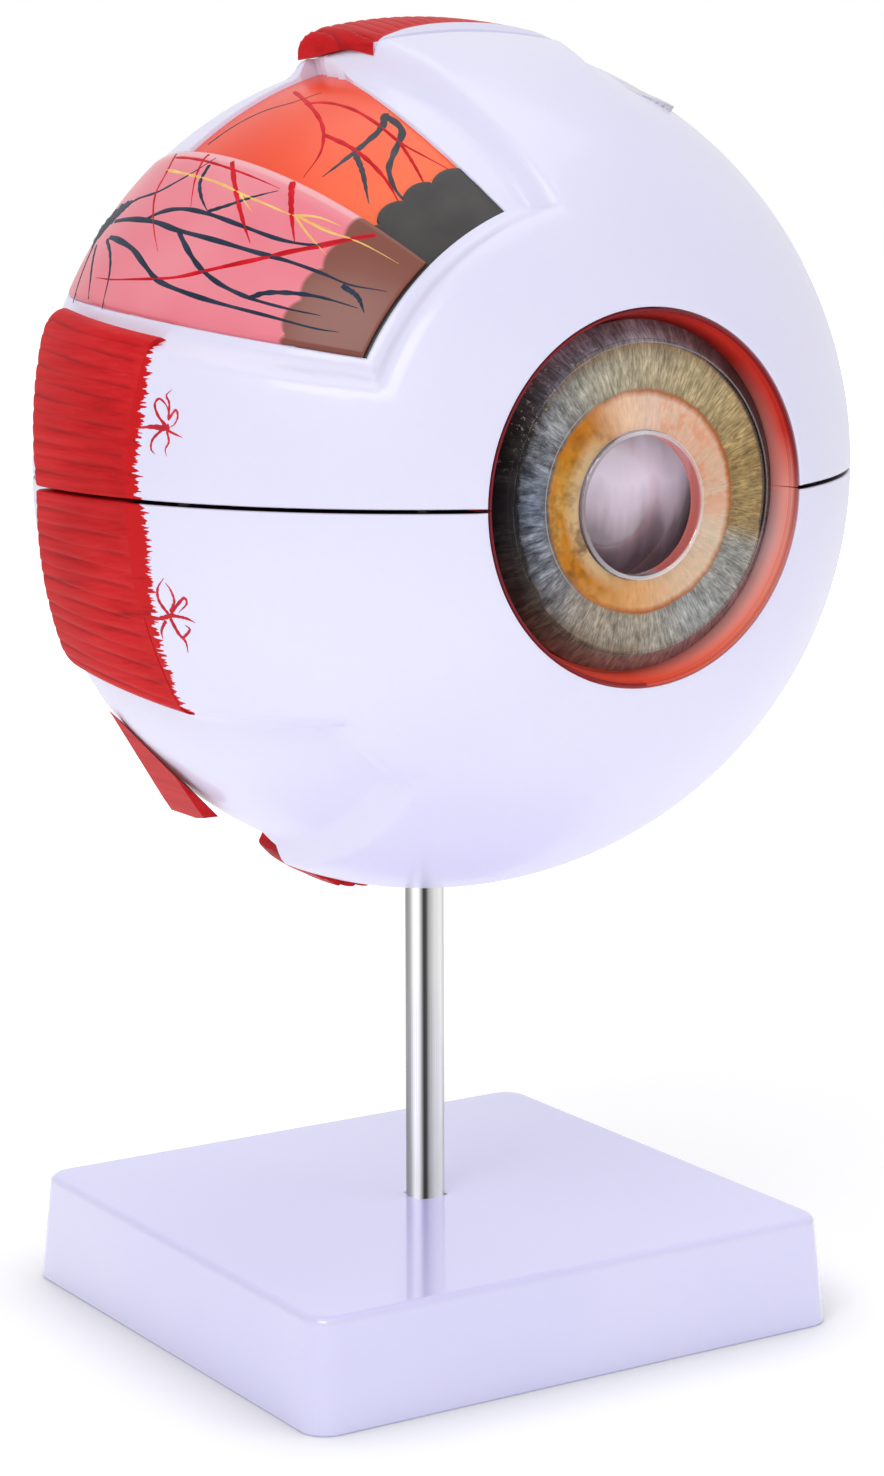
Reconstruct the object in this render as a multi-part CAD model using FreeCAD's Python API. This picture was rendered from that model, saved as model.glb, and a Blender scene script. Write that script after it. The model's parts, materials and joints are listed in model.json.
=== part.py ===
import FreeCAD, Part
import math
import os

V = FreeCAD.Vector
ORIGIN = V(0, 0, 0)
X_AXIS = V(1, 0, 0)
Y_AXIS = V(0, 1, 0)
Z_AXIS = V(0, 0, 1)

# Enlarged eyeball on a stand, in millimetres. +Z is up and the eye looks along -Y.
# The eyeball is built round its own centre and lifted to its height when it is exported.
# Angles: "polar" is measured from the line of sight (-Y) backwards.

# ---------------------------------------------------------------- driving dimensions
# Eyeball
EYE_R = 75.0              # white shell over its front and over the raised straps
RECESS_DEPTH = 4.0        # how far the shell steps down between the straps
REAR_DEPTH = 55.0         # from the centre to the flattened back of the shell
SHOULDER_R = 47.0         # rounding of the recessed shell between its side and its back
SHELL_WALL = 2.8          # white shell where it is recessed
SEAM_GAP = 0.8            # visible line between the two halves
LAND_CLEARANCE = 0.05     # between the inner lands that rest on each other
LAND_WIDTH = 1.6
NEST_CLEARANCE = 0.6      # white shell to coloured inner shell
LINING_SEAM = 0.2         # between the two halves of the coloured inner shell
STRAP_ROOT_DEPTH = 8.0    # straps are joined to the ball this deep below its inside
FIELD_OVERLAP = 2.0       # neighbouring fields are cut this far past their common edge
LINING_WALL = 2.2         # coloured inner shell (choroid and retina)
VITREOUS_CLEARANCE = 0.3
SEAT_CLEARANCE = 0.05     # glued pads and pins

# Straps left standing between the recesses
SIDE_STRAP_TOP = 29.5
SIDE_STRAP_BOTTOM = 36.0
BOTTOM_STRAP_HALF = 33.0
TOP_STRAP_HALF_REAR = 22.5
TOP_STRAP_HALF_FRONT = 11.5
TOP_STRAP_FRONT_Y = 55.0
TOP_STRAP_RISE = 2.5      # strap top above the round shell at its rear end
TOP_STRAP_REAR_Y = 4.0
TOP_STRAP_MERGE_Y = 35.0  # how far in front of the centre it sinks into the ball
UPPER_RECESS_SETBACK = 18.2   # from the front of the full ball to the field round the window
LOWER_RECESS_SETBACK = 26.8
INNER_RECESS_SETBACK = 64.6   # the same for the fields on the nose side
RAISED_REAR_Y = -3.0
UPPER_RECESS_FLOOR = 28.5
UPPER_RECESS_SLOPE = 0.15

# Window cut in the upper shell
WINDOW_SETBACK = 23.5         # from the front of the full ball to the front edge
WINDOW_STEP_Y = 2.5           # rear end of the orange part
WINDOW_REAR_Y = 16.0          # rear end of the pink part
WINDOW_TOP_NORMAL = (1.0, -0.359, 0.911)      # slanting plane of the upper side
WINDOW_TOP_SHARE = 0.439      # its distance from the centre, as a share of the recessed radius
WINDOW_BOTTOM_NORMAL = (0.129, -0.072, 1.0)   # the same for the lower side
WINDOW_BOTTOM_SHARE = 0.301
WINDOW_BREAK_ANGLE = 39.3     # round the line of sight, where the pink layer is cut back
WINDOW_FIT = 0.1
RETINA_PANEL = 1.2
BAND_THICKNESS = 0.4
PINK_PANEL = 1.5
PANEL_CLEARANCE = 0.05
BAND_DEPTH = 6.1              # straight part of the dark band, front to rear
BAND_ANGLES = (20.0, 63.0)    # round the line of sight, from straight up
SCALLOP_PITCH = 6.0           # degrees
SCALLOP_R = 3.9

# Muscles
SIDE_MUSCLE_FRONT_Y = -23.2
SIDE_MUSCLE_REAR_Y = 2.6
SIDE_MUSCLE_TOP = 28.8        # upper edge, level with the centre
SIDE_MUSCLE_TOP_SLOPE = 0.12
SIDE_MUSCLE_BOTTOM_SLOPE = 0.2
SIDE_MUSCLE_REAR_SLOPES = (0.25, 0.1)   # how the cut end leans back, upper and lower half
SIDE_MUSCLE_CORNER_R = 4.0
SIDE_GROOVES = 7
GROOVE_DEPTH = 0.45
GROOVE_WIDTH = 0.5
TOP_MUSCLE_FRONT_Y = 15.0
TOP_MUSCLE_SEAT_LIFT = 0.3    # rear end of the seat above the recessed surface
TOP_MUSCLE_SEAT_RISE = 0.13
TOP_GROOVES = 6
BOTTOM_MUSCLE_FRONT_Y = -4.6
BOTTOM_MUSCLE_REAR_Y = 13.0
OBLIQUE_TANGENT_ANGLE = 127.0
OBLIQUE_STAND_OFF = 1.0       # its outer face beyond the recessed surface
OBLIQUE_THICKNESS = 2.4
OBLIQUE_START_ANGLE = 122.0
OBLIQUE_END_RISE = 15.8       # its cut end above the bottom of the ball
OBLIQUE_FRONT_Y = -2.0
OBLIQUE_WIDTH = 12.7
TENDON_POLAR = (66.0, 80.0)
TENDON_ANGLE = (-27.0, -19.0)
TENDON_HEIGHT = 2.0

# Front opening, iris and lens
OPENING_R = 30.8
COLLAR_CLEARANCE = 0.3
COLLAR_WALL = 1.6
COLLAR_RECESS = 0.3           # collar end behind the rim of the white shell
IRIS_SEAT_DEPTH = 6.9         # from the rim to the ledge the iris rests on
IRIS_CLEARANCE = 0.3
LEDGE_BORE_R = 25.0
IRIS_THICKNESS = 0.8
IRIS_DOME_R = 112.0
IRIS_DOME_EDGE_R = 24.4
PUPIL_R = 11.4
PUPIL_DROP = 1.2              # the pupil sits a little below the line of sight
PUPIL_COLLAR_WALL = 0.8
PUPIL_COLLAR_RISE = 0.4       # collar end in front of the top of the dome
CORNEA_THICKNESS = 1.0
CORNEA_STEP = 0.4
LENS_R = 18.0
LENS_FRONT_SAG = 7.0
LENS_REAR_SAG = 10.0
LENS_EDGE = 0.4               # taken off the sharp rim of the lens
LENS_FRONT_GAP = 5.8          # from the rim back to the front of the lens
VITREOUS_SETBACK = 11.2       # from the rim back to the flat front of the vitreous body
VITREOUS_WALL = 2.0
LENS_SEAT_CLEARANCE = 0.3

# Optic nerve stump
NERVE_R = 7.5
NERVE_SHEATH = 1.2
NERVE_CORE_RECESS = 0.5       # core end behind the cut end of the sheath
NERVE_OFFSET = 10.0           # towards the nose, +X
NERVE_NOTCH_CLEARANCE = 0.3

# Locating pins in the seam
PIN_R = 1.5
PIN_LENGTH = 6.0
PIN_POLARS = (32.0, 64.0)
PIN_HOLE_CLEARANCE = 0.1
PIN_HOLE_END = 0.3            # hole deeper than the pin
PIN_CHAMFER = 0.4

# Stand
BASE_HALF_X = 54.3
BASE_HALF_Y = 52.0
BASE_DRAFT = 1.5
BASE_HEIGHT = 19.8
BASE_CORNER_R = 5.0
BASE_INNER_CORNER_R = 2.4
BASE_WALL = 2.6
BASE_TOP_WALL = 3.0
BASE_EDGE_R = 1.3
RIB_THICKNESS = 2.0
RIB_FLOOR_GAP = 4.0
BASE_BOSS_R = 8.0
BASE_BOSS_FLOOR = 7.0
POLE_R = 3.5
POLE_EXPOSED = 57.4
POLE_SINK = 9.8               # how deep the pole stands in the base
POLE_FIT = 0.05
POLE_RING = 0.35              # open ring round the pole at the top of the base
POLE_RING_DEPTH = 1.2
STUD_R = 2.5
NUT_FLATS = 8.0
NUT_HEIGHT = 4.0
NUT_FLOOR_GAP = 2.0
STUD_END = 1.0                # stud below the nut
WASHER_R = 6.0
WASHER_THICKNESS = 1.0
WASHER_SPACE = 1.0            # round the washer, under the boss
SCREW_HOLE_FIT = 0.1
THREAD_FIT = 0.03
SOCKET_BOSS_R = 5.2
SOCKET_BOSS_TIP_R = 4.3
SOCKET_DROP = 1.5             # boss below the ball
SOCKET_DEPTH = 4.25           # pole inside the boss
SOCKET_FLOOR = 1.4
SOCKET_END_PLAY = 0.05
SCREW_R = 2.0
SCREW_LENGTH = 10.0
SCREW_HEAD_R = 3.9
SCREW_HEAD_HEIGHT = 1.4
SCREW_HEX = 2.5
SCREW_POCKET_R = 5.0
SCREW_WASHER = 0.5
SCREW_WASHER_R = 4.5
SCREW_END_GAP = 1.0           # free thread below the end of the screw

# ---------------------------------------------------------------- derived sizes
RECESS_R = EYE_R - RECESS_DEPTH
UPPER_RECESS_Y = UPPER_RECESS_SETBACK - EYE_R
LOWER_RECESS_Y = LOWER_RECESS_SETBACK - EYE_R
INNER_RECESS_Y = INNER_RECESS_SETBACK - EYE_R
WINDOW_FRONT_Y = WINDOW_SETBACK - EYE_R
BAND_Y = WINDOW_FRONT_Y + BAND_DEPTH
INNER_R = RECESS_R - SHELL_WALL
RETINA_R = INNER_R + RETINA_PANEL
LINING_R = INNER_R - NEST_CLEARANCE
LINING_INNER_R = LINING_R - LINING_WALL
VITREOUS_R = LINING_INNER_R - VITREOUS_CLEARANCE
RIM_Y = -math.sqrt(EYE_R ** 2 - OPENING_R ** 2)
VITREOUS_FRONT_Y = RIM_Y + VITREOUS_SETBACK
COLLAR_R = OPENING_R - COLLAR_CLEARANCE
COLLAR_BORE_R = COLLAR_R - COLLAR_WALL
COLLAR_FRONT_Y = RIM_Y + COLLAR_RECESS
LEDGE_Y = RIM_Y + IRIS_SEAT_DEPTH
IRIS_R = COLLAR_BORE_R - IRIS_CLEARANCE
IRIS_BACK_Y = LEDGE_Y - SEAT_CLEARANCE
IRIS_FRONT_Y = IRIS_BACK_Y - IRIS_THICKNESS
LENS_FRONT_Y = RIM_Y + LENS_FRONT_GAP
LENS_RIM_Y = LENS_FRONT_Y + LENS_FRONT_SAG
BALL_BOTTOM_Z = BASE_HEIGHT + POLE_EXPOSED + SOCKET_DROP
EYE_HEIGHT = BALL_BOTTOM_Z + EYE_R
POLE_FOOT_Z = BASE_HEIGHT - POLE_SINK
POLE_TOP_Z = BASE_HEIGHT + POLE_EXPOSED + SOCKET_DEPTH
SOCKET_FLOOR_Z = POLE_TOP_Z + SOCKET_END_PLAY - EYE_HEIGHT
NERVE_END_Y = -RIM_Y
CORE_R = INNER_R - STRAP_ROOT_DEPTH
INSIDE_Y = -EYE_R / 2         # a depth inside the hollow ball, in front of its centre
BIG = 2 * EYE_R               # past the ball on every side
TOLERANCE = 0.01


# ---------------------------------------------------------------- helpers
def round_to_polar(radius, polar):
    """Point (0, y, distance from the line of sight) at a polar angle on a sphere."""
    angle = math.radians(polar)
    return V(0, -radius * math.cos(angle), radius * math.sin(angle))


def revolve(edges):
    """Solid of revolution about the line of sight, in two half turns, from edges in the YZ plane."""
    face = Part.Face(Part.Wire(edges))
    return face.revolve(ORIGIN, Y_AXIS, 180).fuse(face.revolve(ORIGIN, Y_AXIS, -180))


def ball(radius):
    """Sphere round the eye's centre."""
    half_circle = Part.Arc(*[round_to_polar(radius, polar) for polar in (0, 90, 180)])
    return revolve([half_circle.toShape(), Part.makeLine(V(0, radius, 0), V(0, -radius, 0))])


def globe(side):
    """Eyeball form: a half sphere in front, and behind it a round shoulder and a flatter back."""
    growth = side - RECESS_R
    rear = REAR_DEPTH + growth
    shoulder_r = SHOULDER_R + growth
    back_r = (rear ** 2 + side ** 2 - 2 * side * shoulder_r) / (2 * (rear - shoulder_r))
    turn = math.atan2(side - shoulder_r, back_r - rear)
    front = [round_to_polar(side, polar) for polar in (0, 45, 90)]
    shoulder = []
    for share in (0, 0.5, 1):
        angle = share * (math.pi / 2 - turn)
        shoulder.append(V(0, shoulder_r * math.sin(angle), side - shoulder_r + shoulder_r * math.cos(angle)))
    back = []
    for share in (1, 0.5, 0):
        back.append(V(0, rear - back_r + back_r * math.cos(share * turn), back_r * math.sin(share * turn)))
    return revolve([
        Part.Arc(*front).toShape(),
        Part.Arc(*shoulder).toShape(),
        Part.Arc(*back).toShape(),
        Part.makeLine(back[2], front[0]),
    ])


def sector(angles, polars, radii):
    """Block of a spherical shell between two meridians, two parallels and two radii."""
    inner = [round_to_polar(radii[0], p) for p in (polars[0], sum(polars) / 2, polars[1])]
    outer = [round_to_polar(radii[1], p) for p in (polars[0], sum(polars) / 2, polars[1])]
    edges = [
        Part.Arc(*outer).toShape(),
        Part.makeLine(outer[2], inner[2]),
        Part.Arc(*inner).toShape(),
        Part.makeLine(inner[0], outer[0]),
    ]
    face = Part.Face(Part.Wire(Part.__sortEdges__(edges)))
    face.rotate(ORIGIN, -Y_AXIS, angles[0])
    return face.revolve(ORIGIN, -Y_AXIS, angles[1] - angles[0])


def disc(radius, front_y, back_y, x=0.0, z=0.0):
    """Cylinder along the line of sight between two depths."""
    return Part.makeCylinder(radius, back_y - front_y, V(x, front_y, z), Y_AXIS)


def post(radius, bottom, top, x=0.0, y=0.0):
    """Upright cylinder between two heights."""
    return Part.makeCylinder(radius, top - bottom, V(x, y, bottom), Z_AXIS)


def block(x_range, y_range, z_range):
    """Box between pairs of limits."""
    size = [high - low for low, high in (x_range, y_range, z_range)]
    return Part.makeBox(*size, V(x_range[0], y_range[0], z_range[0]))


def prism(points, axis_from, length):
    """Straight extrusion of a closed outline."""
    wire = Part.makePolygon(list(points) + [points[0]])
    return Part.Face(wire).extrude(axis_from * length)


def edges_at(shape, z):
    """Edges that lie all along at a height."""
    boxes = [(edge, edge.BoundBox) for edge in shape.Edges]
    return [edge for edge, box in boxes if max(abs(box.ZMin - z), abs(box.ZMax - z)) < TOLERANCE]


def above(z):
    return block((-BIG, BIG), (-BIG, BIG), (z, BIG))


def below(z):
    return block((-BIG, BIG), (-BIG, BIG), (-BIG, z))


def export(name, shape, height=0.0):
    """Write one named piece, lifted to its height above the floor."""
    piece = shape.copy()
    piece.translate(V(0, 0, height))
    assert piece.isValid(), name
    print(name, len(piece.Solids), "solid", round(piece.Volume, 1), "mm3")
    piece.exportStep("parts/" + name + ".step")


# ---------------------------------------------------------------- white shell
def front_layer(outer, inner, rear_y):
    """Thick skin of the front of the ball, closed by a flat ring behind."""
    outer_end = 90 + math.degrees(math.asin(rear_y / outer))
    inner_end = 90 + math.degrees(math.asin(rear_y / inner))
    outside = [round_to_polar(outer, outer_end * share) for share in (0, 0.5, 1)]
    inside = [round_to_polar(inner, inner_end * share) for share in (0, 0.5, 1)]
    return revolve([
        Part.Arc(*outside).toShape(),
        Part.makeLine(outside[2], inside[2]),
        Part.Arc(*inside).toShape(),
        Part.makeLine(inside[0], outside[0]),
    ])


def strap_side(y):
    """Half width of the top strap at a depth."""
    slope = (TOP_STRAP_HALF_REAR - TOP_STRAP_HALF_FRONT) / (TOP_STRAP_FRONT_Y + TOP_STRAP_REAR_Y)
    return TOP_STRAP_HALF_REAR - (TOP_STRAP_REAR_Y - y) * slope


def top_drum(growth):
    """Round body whose top is the surface of the top strap."""
    rise = TOP_STRAP_RISE + EYE_R
    drop = rise - math.sqrt(EYE_R ** 2 - TOP_STRAP_MERGE_Y ** 2)
    run = TOP_STRAP_MERGE_Y + TOP_STRAP_REAR_Y
    radius = (run ** 2 + drop ** 2) / (2 * drop)
    centre = V(-BIG / 2, TOP_STRAP_REAR_Y, rise - radius)
    return Part.makeCylinder(radius + growth, BIG, centre, X_AXIS)


def top_strap():
    """Flat strap over the top of the ball, narrower towards the front."""
    front = -TOP_STRAP_FRONT_Y
    outline = [
        V(-strap_side(TOP_STRAP_REAR_Y), TOP_STRAP_REAR_Y, 0),
        V(-strap_side(front), front, 0),
        V(strap_side(front), front, 0),
        V(strap_side(TOP_STRAP_REAR_Y), TOP_STRAP_REAR_Y, 0),
    ]
    return prism(outline, Z_AXIS, BIG).common(top_drum(0)).cut(ball(CORE_R))


def top_muscle_space():
    """Space above the sloping seat of the upper muscle."""
    front = -TOP_MUSCLE_FRONT_Y
    low = RECESS_R + TOP_MUSCLE_SEAT_LIFT
    outline = [
        V(-BIG / 2, front, low + (TOP_STRAP_REAR_Y - front) * TOP_MUSCLE_SEAT_RISE),
        V(-BIG / 2, BIG, low + (TOP_STRAP_REAR_Y - BIG) * TOP_MUSCLE_SEAT_RISE),
        V(-BIG / 2, BIG, BIG),
        V(-BIG / 2, front, BIG),
    ]
    return prism(outline, X_AXIS, BIG)


def upper_recess(side, front_y):
    """Field that is stepped down between the top strap and a side strap."""
    outline = [
        V(side * strap_side(-BIG), -BIG, 0),
        V(side * strap_side(BIG), BIG, 0),
        V(side * BIG, BIG, 0),
        V(side * BIG, -BIG, 0),
    ]
    floor = [
        V(-BIG, -BIG, UPPER_RECESS_FLOOR - BIG * UPPER_RECESS_SLOPE),
        V(-BIG, BIG, UPPER_RECESS_FLOOR + BIG * UPPER_RECESS_SLOPE),
        V(-BIG, BIG, 2 * BIG),
        V(-BIG, -BIG, 2 * BIG),
    ]
    field = prism(outline, Z_AXIS, BIG).common(prism(floor, X_AXIS, 2 * BIG))
    return field.common(block((-BIG, BIG), (front_y, BIG), (-BIG, BIG)))


def lower_recess(side, front_y):
    """Field that is stepped down between the bottom strap and a side strap."""
    x_range = sorted((side * BOTTOM_STRAP_HALF, side * BIG))
    return block(x_range, (front_y, BIG), (-BIG, -SIDE_STRAP_BOTTOM))


def side_muscle_zone(side):
    """Where a side muscle lies on the recessed surface, both halves."""
    x_range = sorted((side * BOTTOM_STRAP_HALF, side * BIG))
    z_range = (-SIDE_STRAP_BOTTOM, SIDE_STRAP_TOP + FIELD_OVERLAP)
    return block(x_range, (SIDE_MUSCLE_FRONT_Y, BIG), z_range)


def bottom_muscle_zone():
    x_range = (-BOTTOM_STRAP_HALF, BOTTOM_STRAP_HALF)
    return block(x_range, (BOTTOM_MUSCLE_FRONT_Y, BIG), (-BIG, 0))


def outer_form():
    """Outside of the closed white eyeball."""
    layer = front_layer(EYE_R, CORE_R, RAISED_REAR_Y)
    fields = [
        upper_recess(-1, UPPER_RECESS_Y),
        lower_recess(-1, LOWER_RECESS_Y),
        upper_recess(1, INNER_RECESS_Y),
        lower_recess(1, INNER_RECESS_Y),
        side_muscle_zone(-1),
        side_muscle_zone(1),
        bottom_muscle_zone(),
        top_muscle_space(),
    ]
    for field in fields:
        layer = layer.cut(field)
    form = globe(RECESS_R).fuse(layer)
    return form.fuse(top_strap().cut(top_muscle_space())).removeSplitter()


def opening():
    """Round front opening for the iris."""
    return disc(OPENING_R, -BIG, INSIDE_Y)


def inner_form():
    """Inside of the white shell."""
    return globe(INNER_R)


def nerve_bore(radius):
    return disc(radius, 0, BIG, NERVE_OFFSET)


def locating_points():
    """Centres of the locating pins in the seam plane."""
    ring = (INNER_R + EYE_R) / 2
    points = []
    for polar in PIN_POLARS:
        for side in (-1, 1):
            angle = math.radians(polar)
            points.append((side * ring * math.sin(angle), -ring * math.cos(angle)))
    return points


def pin_bores(radius):
    end = PIN_LENGTH / 2 + PIN_HOLE_END
    return Part.makeCompound([post(radius, -end, end, x, y) for x, y in locating_points()])


def behind(normal, offset):
    """Everything on the inner side of a plane at a distance from the centre."""
    space = Part.makeBox(2 * BIG, 2 * BIG, 2 * BIG, V(-BIG, -BIG, -2 * BIG))
    direction = V(*normal).normalize()
    space.Placement = FreeCAD.Placement(direction * offset, FreeCAD.Rotation(Z_AXIS, direction))
    return space


def window_quarter(y_range):
    """Upper temple side of the ball between two depths."""
    return block((-BIG, 0), y_range, (0, BIG))


def window_space(inset, whole=True):
    """The window, set in all round: an orange part and, below the break, a longer pink part."""
    top = behind(WINDOW_TOP_NORMAL, WINDOW_TOP_SHARE * RECESS_R - inset)
    bottom_normal = [-value for value in WINDOW_BOTTOM_NORMAL]
    bottom = behind(bottom_normal, -WINDOW_BOTTOM_SHARE * RECESS_R - inset)
    angle = math.radians(WINDOW_BREAK_ANGLE)
    below_break = behind((math.cos(angle), 0, math.sin(angle)), -inset)
    front = WINDOW_FRONT_Y + inset
    space = window_quarter((front, WINDOW_REAR_Y - inset)).common(below_break)
    if whole:
        space = space.fuse(window_quarter((front, WINDOW_STEP_Y - inset)).common(top))
    return space.common(bottom)


def seam_groove():
    """Open line round the seam, outside the land on which the upper half rests."""
    slab = block((-BIG, BIG), (-BIG, BIG), (-SEAM_GAP, SEAM_GAP / 2))
    return slab.cut(globe(INNER_R + LAND_WIDTH))


def sclera_upper(form):
    shell = form.cut(inner_form()).common(above(-SEAM_GAP / 2 + LAND_CLEARANCE))
    shell = shell.cut(seam_groove()).cut(opening())
    shell = shell.cut(nerve_bore(NERVE_R + NERVE_NOTCH_CLEARANCE))
    shell = shell.cut(pin_bores(PIN_R + PIN_HOLE_CLEARANCE))
    return shell.cut(window_space(0))


def sclera_lower(form):
    shell = form.cut(inner_form())
    tip = V(0, 0, -EYE_R - SOCKET_DROP)
    boss = Part.makeCone(SOCKET_BOSS_TIP_R, SOCKET_BOSS_R, EYE_R - INNER_R, tip, Z_AXIS)
    shell = shell.fuse(boss).common(below(-SEAM_GAP / 2))
    shell = shell.cut(opening()).cut(nerve_bore(NERVE_R + SEAT_CLEARANCE))
    shell = shell.cut(pin_bores(PIN_R + SEAT_CLEARANCE))
    shell = shell.cut(post(POLE_R + POLE_FIT, -BIG, SOCKET_FLOOR_Z))
    shell = shell.cut(post(SCREW_R + SCREW_HOLE_FIT, -BIG, 0))
    return shell.cut(post(SCREW_POCKET_R, SOCKET_FLOOR_Z + SOCKET_FLOOR, 0))


# ---------------------------------------------------------------- window layers
def shell_between(inner, outer):
    """Skin that follows the eyeball between two distances inside its recessed surface."""
    return globe(outer).cut(globe(inner))


def retina_panel():
    """Orange layer under the whole window."""
    return shell_between(RETINA_R - RETINA_PANEL, RETINA_R).common(window_space(WINDOW_FIT))


def scallop_angles():
    """Directions of the lobes on the rear edge of the dark band."""
    span = BAND_ANGLES[1] - BAND_ANGLES[0]
    count = round(span / SCALLOP_PITCH)
    first = BAND_ANGLES[0] + (span - (count - 1) * SCALLOP_PITCH) / 2
    return [first + k * SCALLOP_PITCH for k in range(count)]


def ora_serrata_band():
    """Dark scalloped band along the front edge of the window."""
    inner = RETINA_R + PANEL_CLEARANCE
    skin = shell_between(inner, inner + BAND_THICKNESS)
    strip = window_quarter((WINDOW_FRONT_Y, BAND_Y))
    polar = math.acos(-BAND_Y / RETINA_R)
    for angle in scallop_angles():
        turn = math.radians(angle)
        across = math.sin(polar)
        radial = V(-across * math.sin(turn), -math.cos(polar), across * math.cos(turn))
        strip = strip.fuse(Part.makeCylinder(SCALLOP_R, EYE_R - CORE_R, radial * CORE_R, radial))
    return skin.common(strip.common(window_space(WINDOW_FIT)))


def choroid_panel():
    """Pink layer over the lower part of the window."""
    inner = RETINA_R + BAND_THICKNESS + 2 * PANEL_CLEARANCE
    return shell_between(inner, inner + PINK_PANEL).common(window_space(WINDOW_FIT, whole=False))


# ---------------------------------------------------------------- muscles
def seat_form():
    """The recessed surface grown by the glue clearance."""
    return globe(RECESS_R + SEAT_CLEARANCE)


def side_muscle_outline(upper):
    """Corners (y, z) of half a side muscle: seam front, seam rear, far rear, far front."""
    front, rear = SIDE_MUSCLE_FRONT_Y + SEAT_CLEARANCE, SIDE_MUSCLE_REAR_Y
    if upper:
        seam, far_front = SEAM_GAP / 2, SIDE_MUSCLE_TOP + SIDE_MUSCLE_TOP_SLOPE * front
        lean, slope = SIDE_MUSCLE_REAR_SLOPES[0], SIDE_MUSCLE_TOP_SLOPE
    else:
        seam, far_front = -SEAM_GAP / 2, -SIDE_STRAP_BOTTOM + SEAT_CLEARANCE
        lean, slope = -SIDE_MUSCLE_REAR_SLOPES[1], SIDE_MUSCLE_BOTTOM_SLOPE
    far_rear = (far_front + slope * (rear - front)) / (1 - slope * lean)
    return [(front, seam), (rear + lean * seam, seam), (rear + lean * far_rear, far_rear), (front, far_front)]


def side_muscle(side, upper):
    """Half of a side muscle, from its fringe to its cut end, with grooves along its fibres."""
    corners = side_muscle_outline(upper)
    low, high = sorted((corners[0][1], corners[2][1]))
    start = min(side * BOTTOM_STRAP_HALF, side * BIG)
    outline = prism([V(start, y, z) for y, z in corners], X_AXIS, BIG - BOTTOM_STRAP_HALF)
    outline = outline.makeFillet(SIDE_MUSCLE_CORNER_R, edges_at(outline, corners[2][1]))
    pad = ball(EYE_R).common(outline).cut(seat_form())
    spacing = (high - low) / (SIDE_GROOVES + 1)
    half = GROOVE_WIDTH / 2
    groove_floor = ball(EYE_R - GROOVE_DEPTH)
    for index in range(1, SIDE_GROOVES + 1):
        z = low + index * spacing
        pad = pad.cut(block((-BIG, BIG), (-BIG, BIG), (z - half, z + half)).cut(groove_floor))
    return pad


def superior_rectus():
    """Upper muscle: a flat pad on the sloping seat of the top strap."""
    pad = top_strap().common(top_muscle_space())
    pad = pad.cut(block((-BIG, BIG), (-BIG, -TOP_MUSCLE_FRONT_Y + SEAT_CLEARANCE), (-BIG, BIG)))
    pad.translate(V(0, 0, SEAT_CLEARANCE))
    side = strap_side(-TOP_MUSCLE_FRONT_Y)
    spacing = 2 * side / (TOP_GROOVES + 1)
    half = GROOVE_WIDTH / 2
    groove_floor = top_drum(-GROOVE_DEPTH)
    for index in range(1, TOP_GROOVES + 1):
        x = -side + index * spacing
        pad = pad.cut(block((x - half, x + half), (-BIG, BIG), (0, BIG)).cut(groove_floor))
    return pad


def inferior_rectus():
    """Lower muscle, notched round the pole boss."""
    half = BOTTOM_STRAP_HALF - SEAT_CLEARANCE
    y_range = (BOTTOM_MUSCLE_FRONT_Y + SEAT_CLEARANCE, BOTTOM_MUSCLE_REAR_Y)
    pad = ball(EYE_R).common(block((-half, half), y_range, (-BIG, -EYE_R / 2))).cut(seat_form())
    return pad.cut(post(SOCKET_BOSS_R + SEAT_CLEARANCE, -BIG, 0))


def inferior_oblique():
    """Slanting strap that leaves the ball as a tangent and ends in a flat cut."""
    angle = math.radians(OBLIQUE_TANGENT_ANGLE)
    outward = V(-math.sin(angle), 0, math.cos(angle))
    along = V(-math.cos(angle), 0, -math.sin(angle))
    slab = Part.makeBox(BIG, OBLIQUE_WIDTH, OBLIQUE_THICKNESS)
    inside = RECESS_R + OBLIQUE_STAND_OFF - OBLIQUE_THICKNESS
    base = outward * inside - along * BIG / 2 + V(0, OBLIQUE_FRONT_Y, 0)
    frame = FreeCAD.Matrix(
        along.x, 0, outward.x, base.x,
        along.y, 1, outward.y, base.y,
        along.z, 0, outward.z, base.z,
        0, 0, 0, 1)
    slab = slab.transformed(frame, True)
    start_z = EYE_R * math.cos(math.radians(OBLIQUE_START_ANGLE))
    slab = slab.common(block((-BIG, 0), (-BIG, BIG), (OBLIQUE_END_RISE - EYE_R, start_z)))
    return slab.cut(seat_form())


def superior_oblique():
    """Tendon of the upper slanting muscle, in low relief on the nose side."""
    radii = (EYE_R + SEAT_CLEARANCE, EYE_R + TENDON_HEIGHT)
    return sector(TENDON_ANGLE, TENDON_POLAR, radii)


# ---------------------------------------------------------------- inner shell, iris and lens
def lining(upper):
    """Half of the coloured inner shell, with a collar that lines the front opening."""
    inside = globe(LINING_INNER_R)
    shell = globe(LINING_R).fuse(disc(COLLAR_R, COLLAR_FRONT_Y, INSIDE_Y)).cut(inside)
    shell = shell.cut(disc(COLLAR_BORE_R, -BIG, LEDGE_Y)).cut(disc(LEDGE_BORE_R, -BIG, INSIDE_Y))
    return shell.common(above(LINING_SEAM / 2) if upper else below(-LINING_SEAM / 2))


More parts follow.
